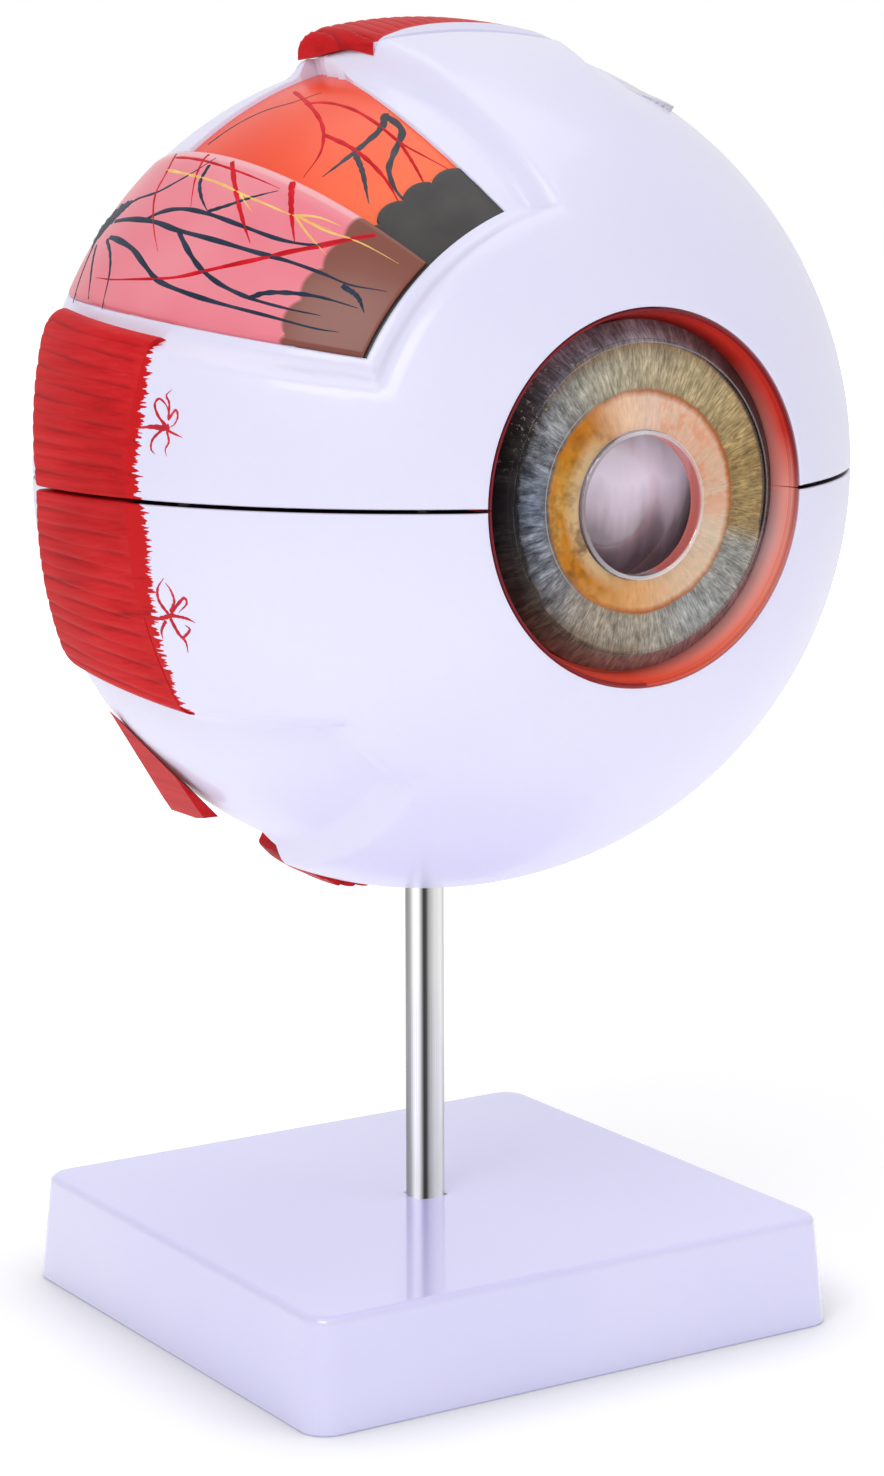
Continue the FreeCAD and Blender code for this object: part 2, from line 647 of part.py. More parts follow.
def dome_profile(front_y, thickness, outer_r, inner_r, step):
    """Closed section of a flat flange that rises into a shallow dome towards the middle."""
    edge = IRIS_DOME_EDGE_R
    sag = edge ** 2 / (2 * IRIS_DOME_R)

    def dome_y(radius, base):
        return base - sag + radius ** 2 / (2 * IRIS_DOME_R)

    middle = (edge + inner_r) / 2
    front = front_y - step
    back = front_y + thickness
    outside = [V(0, dome_y(r, front), r) for r in (inner_r, middle, edge)]
    inside = [V(0, dome_y(r, back), r) for r in (inner_r, middle, edge)]
    return [
        Part.Arc(*outside).toShape(),
        Part.makeLine(outside[2], V(0, front_y, edge)) if step else None,
        Part.makeLine(V(0, front_y, edge), V(0, front_y, outer_r)),
        Part.makeLine(V(0, front_y, outer_r), V(0, back, outer_r)),
        Part.makeLine(V(0, back, outer_r), inside[2]),
        Part.Arc(*inside).toShape(),
        Part.makeLine(inside[0], outside[0]),
    ]


def domed_ring(front_y, thickness, inner_r, step):
    edges = [e for e in dome_profile(front_y, thickness, IRIS_R, inner_r, step) if e]
    return revolve(edges)


def iris_disc():
    """Printed iris: a flange and a shallow dome with the pupil cut out."""
    ring = domed_ring(IRIS_FRONT_Y, IRIS_THICKNESS, PUPIL_R / 2, 0)
    return ring.cut(disc(PUPIL_R + PUPIL_COLLAR_WALL + SEAT_CLEARANCE, -BIG, 0, 0, -PUPIL_DROP))


def cornea_cap():
    """Clear cap over the iris, with a raised collar round the pupil."""
    front = IRIS_FRONT_Y - SEAT_CLEARANCE - CORNEA_THICKNESS
    cap = domed_ring(front, CORNEA_THICKNESS, PUPIL_R / 2, CORNEA_STEP)
    sag = IRIS_DOME_EDGE_R ** 2 / (2 * IRIS_DOME_R)
    lip = front - CORNEA_STEP - sag - PUPIL_COLLAR_RISE
    collar = disc(PUPIL_R + PUPIL_COLLAR_WALL, lip, IRIS_BACK_Y - sag, 0, -PUPIL_DROP)
    return cap.fuse(collar).cut(disc(PUPIL_R, -BIG, 0, 0, -PUPIL_DROP))


def lens_section(growth):
    """Solid biconvex lens, grown all round by a clearance."""
    front_r = (LENS_R ** 2 + LENS_FRONT_SAG ** 2) / (2 * LENS_FRONT_SAG)
    rear_r = (LENS_R ** 2 + LENS_REAR_SAG ** 2) / (2 * LENS_REAR_SAG)
    front = Part.makeSphere(front_r + growth, V(0, LENS_FRONT_Y + front_r, 0), Y_AXIS)
    rear = Part.makeSphere(rear_r + growth, V(0, LENS_RIM_Y + LENS_REAR_SAG - rear_r, 0), Y_AXIS)
    return front.common(rear).common(disc(LENS_R - LENS_EDGE + growth, -BIG, 0))


def vitreous_body():
    """Clear hollow ball with a dish for the lens in its flat front."""
    flat = block((-BIG, BIG), (VITREOUS_FRONT_Y, BIG), (-BIG, BIG))
    body = globe(VITREOUS_R).common(flat)
    dish = lens_section(LENS_SEAT_CLEARANCE)
    dish = dish.fuse(disc(LENS_R - LENS_EDGE + LENS_SEAT_CLEARANCE, -BIG, LENS_RIM_Y))
    wall = VITREOUS_WALL
    hollow_flat = block((-BIG, BIG), (VITREOUS_FRONT_Y + wall, BIG), (-BIG, BIG))
    hollow = globe(VITREOUS_R - wall).common(hollow_flat)
    dish_wall = lens_section(LENS_SEAT_CLEARANCE + wall)
    dish_wall = dish_wall.fuse(disc(LENS_R + LENS_SEAT_CLEARANCE + wall, -BIG, LENS_RIM_Y))
    return body.cut(dish).cut(hollow.cut(dish_wall))


# ---------------------------------------------------------------- optic nerve and pins
def nerve_sheath():
    """Stump of the optic nerve, glued in the lower shell and flush with its inside."""
    tube = disc(NERVE_R, 0, NERVE_END_Y, NERVE_OFFSET)
    return tube.cut(disc(NERVE_R - NERVE_SHEATH, 0, BIG, NERVE_OFFSET)).cut(inner_form())


def nerve_core():
    core_r = NERVE_R - NERVE_SHEATH - SEAT_CLEARANCE
    return disc(core_r, 0, NERVE_END_Y - NERVE_CORE_RECESS, NERVE_OFFSET).cut(inner_form())


def locating_pins():
    """Pins glued in the lower shell; the upper shell drops over their chamfered ends."""
    half = PIN_LENGTH / 2
    pins = []
    for x, y in locating_points():
        pin = post(PIN_R, -half, half, x, y)
        pins.append(pin.makeChamfer(PIN_CHAMFER, edges_at(pin, half)))
    return Part.makeCompound(pins)


# ---------------------------------------------------------------- stand
def rounded_outline(half_x, half_y, corner, z):
    """Rectangle with round corners at a height."""
    arcs = []
    for index, (sx, sy) in enumerate([(1, 1), (-1, 1), (-1, -1), (1, -1)]):
        centre = V(sx * (half_x - corner), sy * (half_y - corner), z)
        turns = [math.radians(90 * index + turn) for turn in (0, 45, 90)]
        arcs.append([centre + V(math.cos(turn), math.sin(turn), 0) * corner for turn in turns])
    edges = []
    for index, points in enumerate(arcs):
        edges.append(Part.Arc(*points).toShape())
        edges.append(Part.makeLine(points[2], arcs[(index + 1) % 4][0]))
    return Part.Wire(edges)


def plinth(inset, corner, bottom, top):
    """Tapered block with round corners, set in from the outside by a wall."""
    def outline(z):
        shrink = inset + BASE_DRAFT * z / BASE_HEIGHT
        return rounded_outline(BASE_HALF_X - shrink, BASE_HALF_Y - shrink, corner, z)

    return Part.makeLoft([outline(bottom), outline(top)], True, True)


def stand_base():
    """Hollow moulded plinth with cross ribs and a boss for the pole."""
    outside = plinth(0, BASE_CORNER_R, 0, BASE_HEIGHT)
    outside = outside.makeFillet(BASE_EDGE_R, edges_at(outside, BASE_HEIGHT))
    hollow = plinth(BASE_WALL, BASE_INNER_CORNER_R, 0, BASE_HEIGHT - BASE_TOP_WALL)
    half = RIB_THICKNESS / 2
    ribs = block((-BIG, BIG), (-half, half), (RIB_FLOOR_GAP, BASE_HEIGHT))
    ribs = ribs.fuse(block((-half, half), (-BIG, BIG), (RIB_FLOOR_GAP, BASE_HEIGHT)))
    ribs = ribs.fuse(post(BASE_BOSS_R, BASE_BOSS_FLOOR, BASE_HEIGHT))
    washer_space = post(WASHER_R + WASHER_SPACE, 0, BASE_BOSS_FLOOR)
    base = outside.cut(hollow.cut(ribs.cut(washer_space)))
    base = base.cut(post(POLE_R + POLE_RING, BASE_HEIGHT - POLE_RING_DEPTH, BIG))
    base = base.cut(post(POLE_R + POLE_FIT, POLE_FOOT_Z, BIG))
    return base.cut(post(STUD_R + POLE_FIT, 0, BIG))


def support_pole():
    """Steel rod with a threaded stud below and a tapped hole on top."""
    rod = post(POLE_R, POLE_FOOT_Z, POLE_TOP_Z)
    stud = post(STUD_R, NUT_FLOOR_GAP - STUD_END, POLE_FOOT_Z)
    return rod.fuse(stud).cut(post(SCREW_R, POLE_TOP_Z - SCREW_LENGTH, POLE_TOP_Z)).removeSplitter()


def hex_post(flats, bottom, top):
    """Upright six-sided bar."""
    radius = flats / math.sqrt(3)
    turns = [math.radians(60 * corner) for corner in range(6)]
    points = [V(radius * math.cos(turn), radius * math.sin(turn), bottom) for turn in turns]
    return prism(points, Z_AXIS, top - bottom)


def pole_nut():
    top = NUT_FLOOR_GAP + NUT_HEIGHT
    nut = hex_post(NUT_FLATS, NUT_FLOOR_GAP, top)
    corner = NUT_FLATS / math.sqrt(3)
    flat = NUT_FLATS / 2
    bevel = Part.makeCone(flat, corner, corner - flat, V(0, 0, NUT_FLOOR_GAP), Z_AXIS)
    bevel = bevel.fuse(post(corner, NUT_FLOOR_GAP + corner - flat, top))
    return nut.common(bevel).cut(post(STUD_R + THREAD_FIT, 0, BIG))


def pole_washer():
    bottom = NUT_FLOOR_GAP + NUT_HEIGHT
    return post(WASHER_R, bottom, bottom + WASHER_THICKNESS).cut(post(STUD_R + SCREW_HOLE_FIT, 0, BIG))


def socket_screw():
    """Screw down through the floor of the socket into the pole, with a hexagon recess."""
    seat = POLE_TOP_Z + SOCKET_END_PLAY + SOCKET_FLOOR + SCREW_WASHER + SOCKET_END_PLAY
    head = post(SCREW_HEAD_R, seat, seat + SCREW_HEAD_HEIGHT)
    head = head.makeFillet(SCREW_HEAD_HEIGHT / 2, edges_at(head, seat + SCREW_HEAD_HEIGHT))
    shank = post(SCREW_R - THREAD_FIT, POLE_TOP_Z - SCREW_LENGTH + SCREW_END_GAP, seat)
    return head.fuse(shank).cut(hex_post(SCREW_HEX, seat + SCREW_HEAD_HEIGHT / 2, BIG))


def socket_washer():
    bottom = POLE_TOP_Z + SOCKET_END_PLAY + SOCKET_FLOOR + SOCKET_END_PLAY / 2
    return post(SCREW_WASHER_R, bottom, bottom + SCREW_WASHER).cut(post(SCREW_R + SCREW_HOLE_FIT, 0, BIG))


# ---------------------------------------------------------------- build
def main():
    os.makedirs("parts", exist_ok=True)
    form = outer_form()
    ball_pieces = {
        "sclera_upper": sclera_upper(form),
        "sclera_lower": sclera_lower(form),
        "retina_panel": retina_panel(),
        "ora_serrata_band": ora_serrata_band(),
        "choroid_panel": choroid_panel(),
        "lateral_rectus_upper": side_muscle(-1, True),
        "lateral_rectus_lower": side_muscle(-1, False),
        "medial_rectus_upper": side_muscle(1, True),
        "medial_rectus_lower": side_muscle(1, False),
        "superior_rectus": superior_rectus(),
        "inferior_rectus": inferior_rectus(),
        "superior_oblique": superior_oblique(),
        "inferior_oblique": inferior_oblique(),
        "choroid_upper": lining(True),
        "choroid_lower": lining(False),
        "iris_disc": iris_disc(),
        "cornea_cap": cornea_cap(),
        "lens": lens_section(0),
        "vitreous_body": vitreous_body(),
        "optic_nerve_sheath": nerve_sheath(),
        "optic_nerve_core": nerve_core(),
        "locating_pins": locating_pins(),
    }
    for name, shape in ball_pieces.items():
        export(name, shape, EYE_HEIGHT)
    stand_pieces = {
        "stand_base": stand_base(),
        "support_pole": support_pole(),
        "pole_nut": pole_nut(),
        "pole_washer": pole_washer(),
        "socket_screw": socket_screw(),
        "socket_washer": socket_washer(),
    }
    for name, shape in stand_pieces.items():
        export(name, shape)


if __name__ == "__main__":
    main()
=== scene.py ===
# %% [markdown]
# # An enlarged take-apart eyeball on a stand
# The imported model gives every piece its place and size. This lesson dresses it: the moulded shells get
# soft edges, the muscles get fibres, and the window gets its painted vessels.

# %% Load the frame
import json
import math

import bpy
import numpy as np
from mathutils import Matrix, Vector

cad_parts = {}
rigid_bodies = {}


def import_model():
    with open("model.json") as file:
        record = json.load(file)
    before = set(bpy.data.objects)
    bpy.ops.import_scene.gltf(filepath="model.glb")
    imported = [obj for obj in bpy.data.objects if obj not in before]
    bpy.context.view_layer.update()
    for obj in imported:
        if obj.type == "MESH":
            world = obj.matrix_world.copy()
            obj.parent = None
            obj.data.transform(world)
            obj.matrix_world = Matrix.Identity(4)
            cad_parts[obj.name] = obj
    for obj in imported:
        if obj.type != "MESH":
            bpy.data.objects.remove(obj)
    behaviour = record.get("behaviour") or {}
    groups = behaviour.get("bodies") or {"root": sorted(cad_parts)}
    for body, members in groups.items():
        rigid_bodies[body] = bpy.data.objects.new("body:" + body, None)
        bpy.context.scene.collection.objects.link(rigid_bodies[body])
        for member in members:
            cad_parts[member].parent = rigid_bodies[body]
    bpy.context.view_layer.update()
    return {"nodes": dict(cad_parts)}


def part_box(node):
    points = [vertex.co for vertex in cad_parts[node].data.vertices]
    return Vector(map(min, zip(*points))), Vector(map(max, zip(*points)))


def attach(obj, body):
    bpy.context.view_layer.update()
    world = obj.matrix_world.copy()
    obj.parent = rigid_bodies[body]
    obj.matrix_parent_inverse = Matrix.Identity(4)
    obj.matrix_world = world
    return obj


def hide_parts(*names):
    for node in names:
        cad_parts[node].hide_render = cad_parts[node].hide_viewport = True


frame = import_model()
MM = 0.001

# %% [markdown]
# The lens is round about the line of sight, so the middle of its box gives the height of the eye's
# centre. The white shell lies on a ball round it, 4 mm deeper in its recessed fields. From here on,
# sizes without a unit are in millimetres. Directions from the centre are two angles in degrees: the polar
# angle, away from the line of sight, and the turn round it, from straight up towards the temple side.

# %% The eye's centre
lens_low, lens_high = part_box("lens")
EYE = Vector((0.0, 0.0, (lens_low.z + lens_high.z) / 2))
EYE_SPOT = np.array(EYE)
BALL = 75.0
RECESSED = 71.0
RECESS = BALL - RECESSED
print("eye centre:", EYE)

# %% [markdown]
# The camera stands where a tabletop picture of this object is usually taken: a little above the eye,
# on the temple side, with a long lens so that the ball stays round. It looks down by ten degrees.

# %% Camera
CAMERA_PLACE = EYE + Vector((-344.03, -546.47, 66.60)) * MM
CAMERA_TURN = math.radians(32.481)
CAMERA_PITCH = math.radians(10.178)
CAMERA_ROLL = math.radians(0.14)
FOCAL_LENGTH = 89.458

ahead = Vector((math.sin(CAMERA_TURN) * math.cos(CAMERA_PITCH),
                math.cos(CAMERA_TURN) * math.cos(CAMERA_PITCH), -math.sin(CAMERA_PITCH)))
bpy.ops.object.camera_add(location=CAMERA_PLACE)
camera = bpy.context.object
roll = Matrix.Rotation(-CAMERA_ROLL, 4, "Z")
facing = ahead.to_track_quat("-Z", "Y").to_matrix().to_4x4()
camera.matrix_world = Matrix.Translation(CAMERA_PLACE) @ facing @ roll
camera.data.lens = FOCAL_LENGTH
camera.data.sensor_width = 36
camera.data.clip_end = 20
bpy.context.scene.camera = camera
bpy.context.scene.view_settings.view_transform = "Standard"

# %% [markdown]
# Materials are all built from the same few nodes, so small helpers keep them readable: they add a node
# and wire its inputs, add ramps and sums, and start a material with its surface shader. All of them work
# on the material that was started last.

# %% Material helpers


canvas = {"tree": None}


def wire(made, inputs=None, **named):
    """Set a node's inputs to values, or wire them to sockets. An underscore in a name is a space."""
    named = {name.replace("_", " "): value for name, value in named.items()}
    for name, value in {**(inputs or {}), **named}.items():
        if isinstance(value, bpy.types.NodeSocket):
            canvas["tree"].links.new(value, made.inputs[name])
        else:
            made.inputs[name].default_value = value
    return made


def node(kind, inputs=None, **settings):
    """A shader node with its settings and its inputs."""
    made = canvas["tree"].nodes.new("ShaderNode" + kind)
    for name, value in settings.items():
        setattr(made, name, value)
    return wire(made, inputs)


def ramp(factor, stops):
    """Colour ramp from (place, colour) stops."""
    made = node("ValToRGB", {"Fac": factor})
    while len(made.color_ramp.elements) < len(stops):
        made.color_ramp.elements.new(1.0)
    for element, (place, colour) in zip(made.color_ramp.elements, stops):
        element.position = place
        element.color = (*colour, 1.0)
    return made.outputs["Color"]


def levels(factor, *stops):
    """Strength from (place, strength) stops."""
    return ramp(factor, [(at, (value,) * 3) for at, value in stops])


def mixed(factor, first, second, mode="MIX"):
    """Mix of two colours."""
    made = node("Mix", data_type="RGBA", blend_type=mode)
    colours = [value if isinstance(value, bpy.types.NodeSocket) else (*value, 1.0)
               for value in (first, second)]
    return wire(made, {0: factor, 6: colours[0], 7: colours[1]}).outputs[2]


def surface(name, **values):
    """New material and its surface shader. The nodes made from here on belong to it."""
    material = bpy.data.materials.new(name)
    material.use_nodes = True
    canvas["tree"] = material.node_tree
    return material, wire(material.node_tree.nodes["Principled BSDF"], **values)


def bump(shader, height, strength, distance):
    """Fine relief on a shader's normal."""
    made = node("Bump", {"Height": height, "Strength": strength, "Distance": distance})
    wire(shader, Normal=made.outputs["Normal"])


def place():
    """The shaded point, in metres."""
    return node("TexCoord").outputs["Object"]


def parts(vector):
    """The three parts of a vector."""
    return node("SeparateXYZ", {"Vector": vector}).outputs


def noise(vector, scale, detail=2.0, roughness=0.5):
    inputs = {"Vector": vector, "Scale": scale, "Detail": detail, "Roughness": roughness}
    return node("TexNoise", inputs).outputs["Fac"]


def stretched_noise(scale, detail=4.0, roughness=0.6):
    """Noise with its own scale along each axis."""
    stretched = node("Mapping", {"Vector": place(), "Scale": scale})
    return noise(stretched.outputs["Vector"], 1.0, detail, roughness)


def noted(name):
    """A number kept per vertex, see note()."""
    return node("Attribute", attribute_name=name).outputs["Fac"]


def calc(operation, first, second=0.0):
    return node("Math", {0: first, 1: second}, operation=operation).outputs[0]


def times(first, *others):
    for other in others:
        first = calc("MULTIPLY", first, other)
    return first


def plus(first, *others):
    for other in others:
        first = calc("ADD", first, other)
    return first


def minus(first, second):
    return calc("SUBTRACT", first, second)


def ranged(value, low, high, first=0.0, last=1.0):
    """A value's range from low to high turned into another one, and held at its ends."""
    inputs = {"Value": value, "From Min": low, "From Max": high, "To Min": first, "To Max": last}
    return node("MapRange", inputs).outputs["Result"]


# %% [markdown]
# The white shell and the base are one pale lavender plastic. A moulded skin is never quite even, so the
# colour drifts a little over several centimetres and a very fine ripple breaks up the highlights. In
# front of the side muscles their red runs out over the white with a ragged edge. Shade is painted inside
# the closed seam, the bare white glows faintly as painted light, and the base glows more on its top.

# %% White plastic
SHELL_COLOUR = (0.780, 0.765, 0.955)
SHELL_SHADE = (0.735, 0.720, 0.940)
SHELL_COAT, SHELL_SPECULAR, SHELL_SUBSURFACE = 0.25, 0.5, 0.08
# Glow colours: faint painted light on the bare shell and on the base.
SHELL_GLOW = (1.0, 1.0, 0.85, 1.0)
BASE_TINT = (0.935, 0.94, 1.0)
BASE_GLOW = (0.45, 0.42, 1.0, 1.0)
MUSCLE_RED = (0.600, 0.0095, 0.0125)
MUSCLE_DARK = (0.330, 0.0050, 0.0090)
# Painted shade inside the closed seam.
SEAM_SHADE = (0.030, 0.006, 0.010)
FRINGE_Z = (-36.6, 25.1)
# The line's depths go through a ramp, which only holds 0 to 1, so they are divided by a scale.
FRINGE_SCALE = 40.0
FRINGE_LINE = [(0.0, -24.2), (0.10, -24.9), (0.26, -25.8), (0.37, -26.8), (0.49, -27.5), (0.58, -27.2),
               (0.60, -25.8), (0.78, -25.6), (0.93, -25.2), (1.0, -23.6)]


def white_plastic(name, roughness, coat):
    material, shader = surface(name, Roughness=roughness, Coat_Weight=coat, Coat_Roughness=0.06,
                               Subsurface_Weight=SHELL_SUBSURFACE, Subsurface_Scale=0.004)
    cloud = noise(place(), 14.0)
    colour = ramp(cloud, [(0.35, SHELL_SHADE), (0.65, SHELL_COLOUR)])
    bump(shader, noise(place(), 900.0), 0.04, 0.0002)
    return material, shader, colour


def eye_axes():
    """Height and depth in mm from the eye's centre, and the distance to its middle plane."""
    spot = parts(place())
    height = times(minus(spot["Z"], EYE.z), 1 / MM)
    depth = times(minus(spot["Y"], EYE.y), 1 / MM)
    side = times(calc("ABSOLUTE", minus(spot["X"], EYE.x)), 1 / MM)
    return height, depth, side


def from_eye():
    """Distance in mm from the eye's centre."""
    middle = node("VectorMath", {0: place(), 1: tuple(EYE)}, operation="DISTANCE")
    return times(middle.outputs["Value"], 1 / MM)


def fringe():
    """Where the side muscles' red is painted on the white in front of them, with a ragged edge."""
    height, depth, side = eye_axes()
    line = levels(ranged(height, *FRINGE_Z), *[(at, -y / FRINGE_SCALE) for at, y in FRINGE_LINE])
    line = times(line, -FRINGE_SCALE)
    teeth = node("CombineXYZ", {"Y": times(depth, 0.10), "Z": height})
    long_teeth = noise(teeth.outputs["Vector"], 1.15, 2.0, 0.6)
    short_teeth = noise(teeth.outputs["Vector"], 2.6, 1.0, 0.5)
    reach = plus(times(minus(long_teeth, 0.5), 5.0),
                 times(minus(short_teeth, 0.5), 3.2))
    there = ranged(plus(minus(depth, line), reach), -0.08, 0.12)
    low, high = FRINGE_Z
    for value, start, end in ((depth, -22.5, -22.6), (side, 50.0, 50.1), (height, low, low + 0.3),
                              (height, high, high - 0.3)):
        there = times(there, ranged(value, start, end))
    return there


shell_white, shader, colour = white_plastic("shell_white", 0.34, SHELL_COAT)
painted_red = times(fringe(), ranged(from_eye(), 73.0, 73.4))
strands = stretched_noise((420.0, 22.0, 760.0))
colour = mixed(painted_red, colour, ramp(strands, [(0.26, MUSCLE_DARK), (0.44, MUSCLE_RED)]))
for name, bare, red in (("Coat Weight", SHELL_COAT, 0.0), ("Specular IOR Level", SHELL_SPECULAR, 0.1),
                        ("Subsurface Weight", SHELL_SUBSURFACE, 0.0)):
    wire(shader, {name: ranged(painted_red, 0.0, 1.0, bare, red)})
# Painted shade in the seam: dark where the halves close on each other, white again when they are apart.
seam_height = calc("ABSOLUTE", eye_axes()[0])
open_sky = node("AmbientOcclusion", {"Distance": 0.003}, samples=8).outputs["AO"]
seam_shade = times(ranged(seam_height, 0.36, 0.32), ranged(open_sky, 0.7, 0.5))
plain_white = times(minus(1.0, seam_shade), minus(1.0, painted_red))
# Painted light: the bare white glows faintly.
wire(shader, Base_Color=mixed(seam_shade, colour, SEAM_SHADE), Emission_Color=SHELL_GLOW,
     Emission_Strength=times(plain_white, 0.045))

base_white, shader, colour = white_plastic("base_white", 0.20, 1.0)
# Painted light: the base glows, most on its upward faces.
upward = parts(node("NewGeometry").outputs["Normal"])["Z"]
wire(shader, Base_Color=mixed(1.0, colour, BASE_TINT, "MULTIPLY"), Emission_Color=BASE_GLOW,
     Emission_Strength=plus(times(ranged(upward, 0.6, 1.0), 0.15), 0.04))

# %% [markdown]
# Behind its widest circle the ball is flattened: a round shoulder runs into a flatter back. The same
# profile serves every skin of the eye, so it is worked out once, as distance from the centre against
# polar angle, for a skin of any size.

# %% The eye's profile
REAR_DEPTH = 55.0
SHOULDER_R = 47.0


def skin_profile(side):
    """Polar angles in degrees and distances in mm of a skin that is `side` mm out at the equator."""
    growth = side - RECESSED
    rear, shoulder = REAR_DEPTH + growth, SHOULDER_R + growth
    back = (rear ** 2 + side ** 2 - 2 * side * shoulder) / (2 * (rear - shoulder))
    turn = math.atan2(side - shoulder, back - rear)
    along = np.linspace(0, math.pi / 2 - turn, 60)
    y = shoulder * np.sin(along)
    across = side - shoulder + shoulder * np.cos(along)
    along = np.linspace(turn, 0, 60)[1:]
    y = np.append(y, rear - back + back * np.cos(along))
    across = np.append(across, back * np.sin(along))
    polar = np.degrees(np.arctan2(across, -y))
    front = np.linspace(0, 89.99, 181)
    return np.append(front, polar), np.append(np.full(181, side), np.hypot(y, across))


def skin(side, directions):
    """Distance in mm from the eye's centre to a skin, along unit directions."""
    polar = np.degrees(np.arccos(np.clip(-directions[:, 1], -1, 1)))
    return np.interp(polar, *skin_profile(side))


print("back of the white shell:", skin(RECESSED, np.array([[0.0, 1.0, 0.0]])), "mm")

# %% [markdown]
# Vertices are read and written as one array of millimetres from the eye's centre, because every edge of
# the shells is a plane or a sphere there. Faces and edges are picked by a rule on their centres.

# %% Mesh helpers


def numbers(items, key):
    """One row of three numbers for each vertex or face."""
    flat = np.empty(len(items) * 3)
    items.foreach_get(key, flat)
    return flat.reshape(-1, 3)


def read(obj):
    return (numbers(obj.data.vertices, "co") - EYE_SPOT) / MM


def write(obj, points):
    obj.data.vertices.foreach_set("co", (points * MM + EYE_SPOT).ravel())
    obj.data.update()


def centres(obj):
    return (numbers(obj.data.polygons, "center") - EYE_SPOT) / MM


def unit(points):
    """Directions of points from the eye's centre."""
    return points / np.linalg.norm(points, axis=1)[:, None]


def note(obj, name, values):
    """Keep one number per vertex for the materials to read."""
    obj.data.attributes.new(name, "FLOAT", "POINT").data.foreach_set("value", np.asarray(values, dtype=float))


def select(*objects):
    """Select these objects alone and make the first one active."""
    bpy.ops.object.select_all(action="DESELECT")
    for obj in reversed(objects):
        obj.select_set(True)
        bpy.context.view_layer.objects.active = obj


def fix_place():
    """Move the selected objects' places, turns and sizes into their meshes."""
    bpy.ops.object.transform_apply(location=True, rotation=True, scale=True)


def pick(obj, chosen):
    """Face selection by a list of true and false."""
    select(obj)
    bpy.ops.object.mode_set(mode="EDIT")
    bpy.ops.mesh.select_mode(type="FACE")
    bpy.ops.mesh.select_all(action="DESELECT")
    bpy.ops.object.mode_set(mode="OBJECT")
    obj.data.polygons.foreach_set("select", np.asarray(chosen, dtype=bool))
    bpy.ops.object.mode_set(mode="EDIT")


def cut(obj, normal, offset, region=None, **clear):
    """Cut the faces of a region along a plane `offset` mm from the eye's centre."""
    middle = centres(obj)
    chosen = np.ones(len(middle), dtype=bool) if region is None else region(middle)
    if not chosen.any():
        return
    normal = Vector(normal)
    size = normal.length
    pick(obj, chosen)
    bpy.ops.mesh.bisect(plane_co=EYE + normal / size * (offset / size) * MM, plane_no=normal / size, **clear)
    bpy.ops.object.mode_set(mode="OBJECT")


def drop_faces(obj, chosen):
    pick(obj, chosen)
    bpy.ops.mesh.delete(type="FACE")
    bpy.ops.object.mode_set(mode="OBJECT")


def modify(obj, kind, **settings):
    """Add a modifier and apply it."""
    select(obj)
    added = obj.modifiers.new(kind.lower(), kind)
    for name, value in settings.items():
        setattr(added, name, value)
    bpy.ops.object.modifier_apply(modifier=added.name)


def thicken(obj, inside):
    """Close a sheet downwards: inside(points) gives the place of each point's underside."""
    outer = read(obj)
    modify(obj, "SOLIDIFY", thickness=0.001, offset=-1, use_even_offset=False)
    everything = read(obj)
    everything[:len(outer)] = outer
    everything[len(outer):2 * len(outer)] = inside(outer)
    write(obj, everything)
    return obj


def inward(side):
    """Rule for the underside of a sheet: straight in to the skin of that size."""
    return lambda outer: unit(outer) * skin(side, unit(outer))[:, None]


def settle(obj, name, body, material, replaced=(), angle=None):
    """Last touches on a finished piece: name, material, shading, place in its mesh, body."""
    select(obj)
    fix_place()
    bpy.ops.object.mode_set(mode="EDIT")
    bpy.ops.mesh.select_all(action="SELECT")
    bpy.ops.mesh.remove_doubles(threshold=0.000002)
    bpy.ops.mesh.normals_make_consistent(inside=False)
    bpy.ops.object.mode_set(mode="OBJECT")
    if angle is None:
        bpy.ops.object.shade_smooth()
    else:
        bpy.ops.object.shade_smooth_by_angle(angle=math.radians(angle))
    obj.name = obj.data.name = name
    obj.data.materials.clear()
    obj.data.materials.append(material)
    if replaced:
        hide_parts(*replaced)
    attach(obj, body)
    return obj


# %% [markdown]
# The white shell is raised in broad straps over its front and stepped down in fields between them. A
# field is where several planes all have the point on their inner side, so the smallest of its plane
# distances says how far inside it a point lies, and the largest over all fields decides the step.

# %% Straps and fields
STEP_OFFSETS = (-2.4, -1.5, -0.8, -0.25, 0.25, 0.8, 1.5, 2.4)
STEP_SHARES = (0.0, 0.03, 0.14, 0.36, 0.64, 0.86, 0.97, 1.0)
CRISP, BLUNT = 24.0, 0.4
# The top strap widens to the rear. It is a drum round an axis across the ball, with a sloping flat seat
# for its muscle, and both are crowned a little from side to side.
STRAP_SLOPE = 11.0 / 59.0
STRAP_HALF = 22.5 - 4 * STRAP_SLOPE
DRUM_Y, DRUM_Z, DRUM_R = 4.0, 3.83, 73.67
SEAT_HEIGHT, SEAT_SLOPE = 71.82, 0.13
SEAT_FRONT, SEAT_REAR = -15.0, 4.0
CROWN, SEAT_CROWN = 0.0052, 0.0029
# The fields, by where their walls stand.
UPPER_FLOOR, UPPER_SLOPE, UPPER_FRONT = 28.5, 0.15, -56.8
LOWER_TOP, LOWER_FRONT = 36.0, -46.5
NOSE_FRONT = -10.4
BOTTOM_HALF = 33.0
MUSCLE_FRONT, MUSCLE_TOP = -23.2, 31.5
UNDER_EDGE, UNDER_LEFT = -4.6, 26.8


def step(distance):
    """Share of a step that is done at a distance past its edge, with soft shoulders."""
    return np.interp(distance, STEP_OFFSETS, STEP_SHARES)


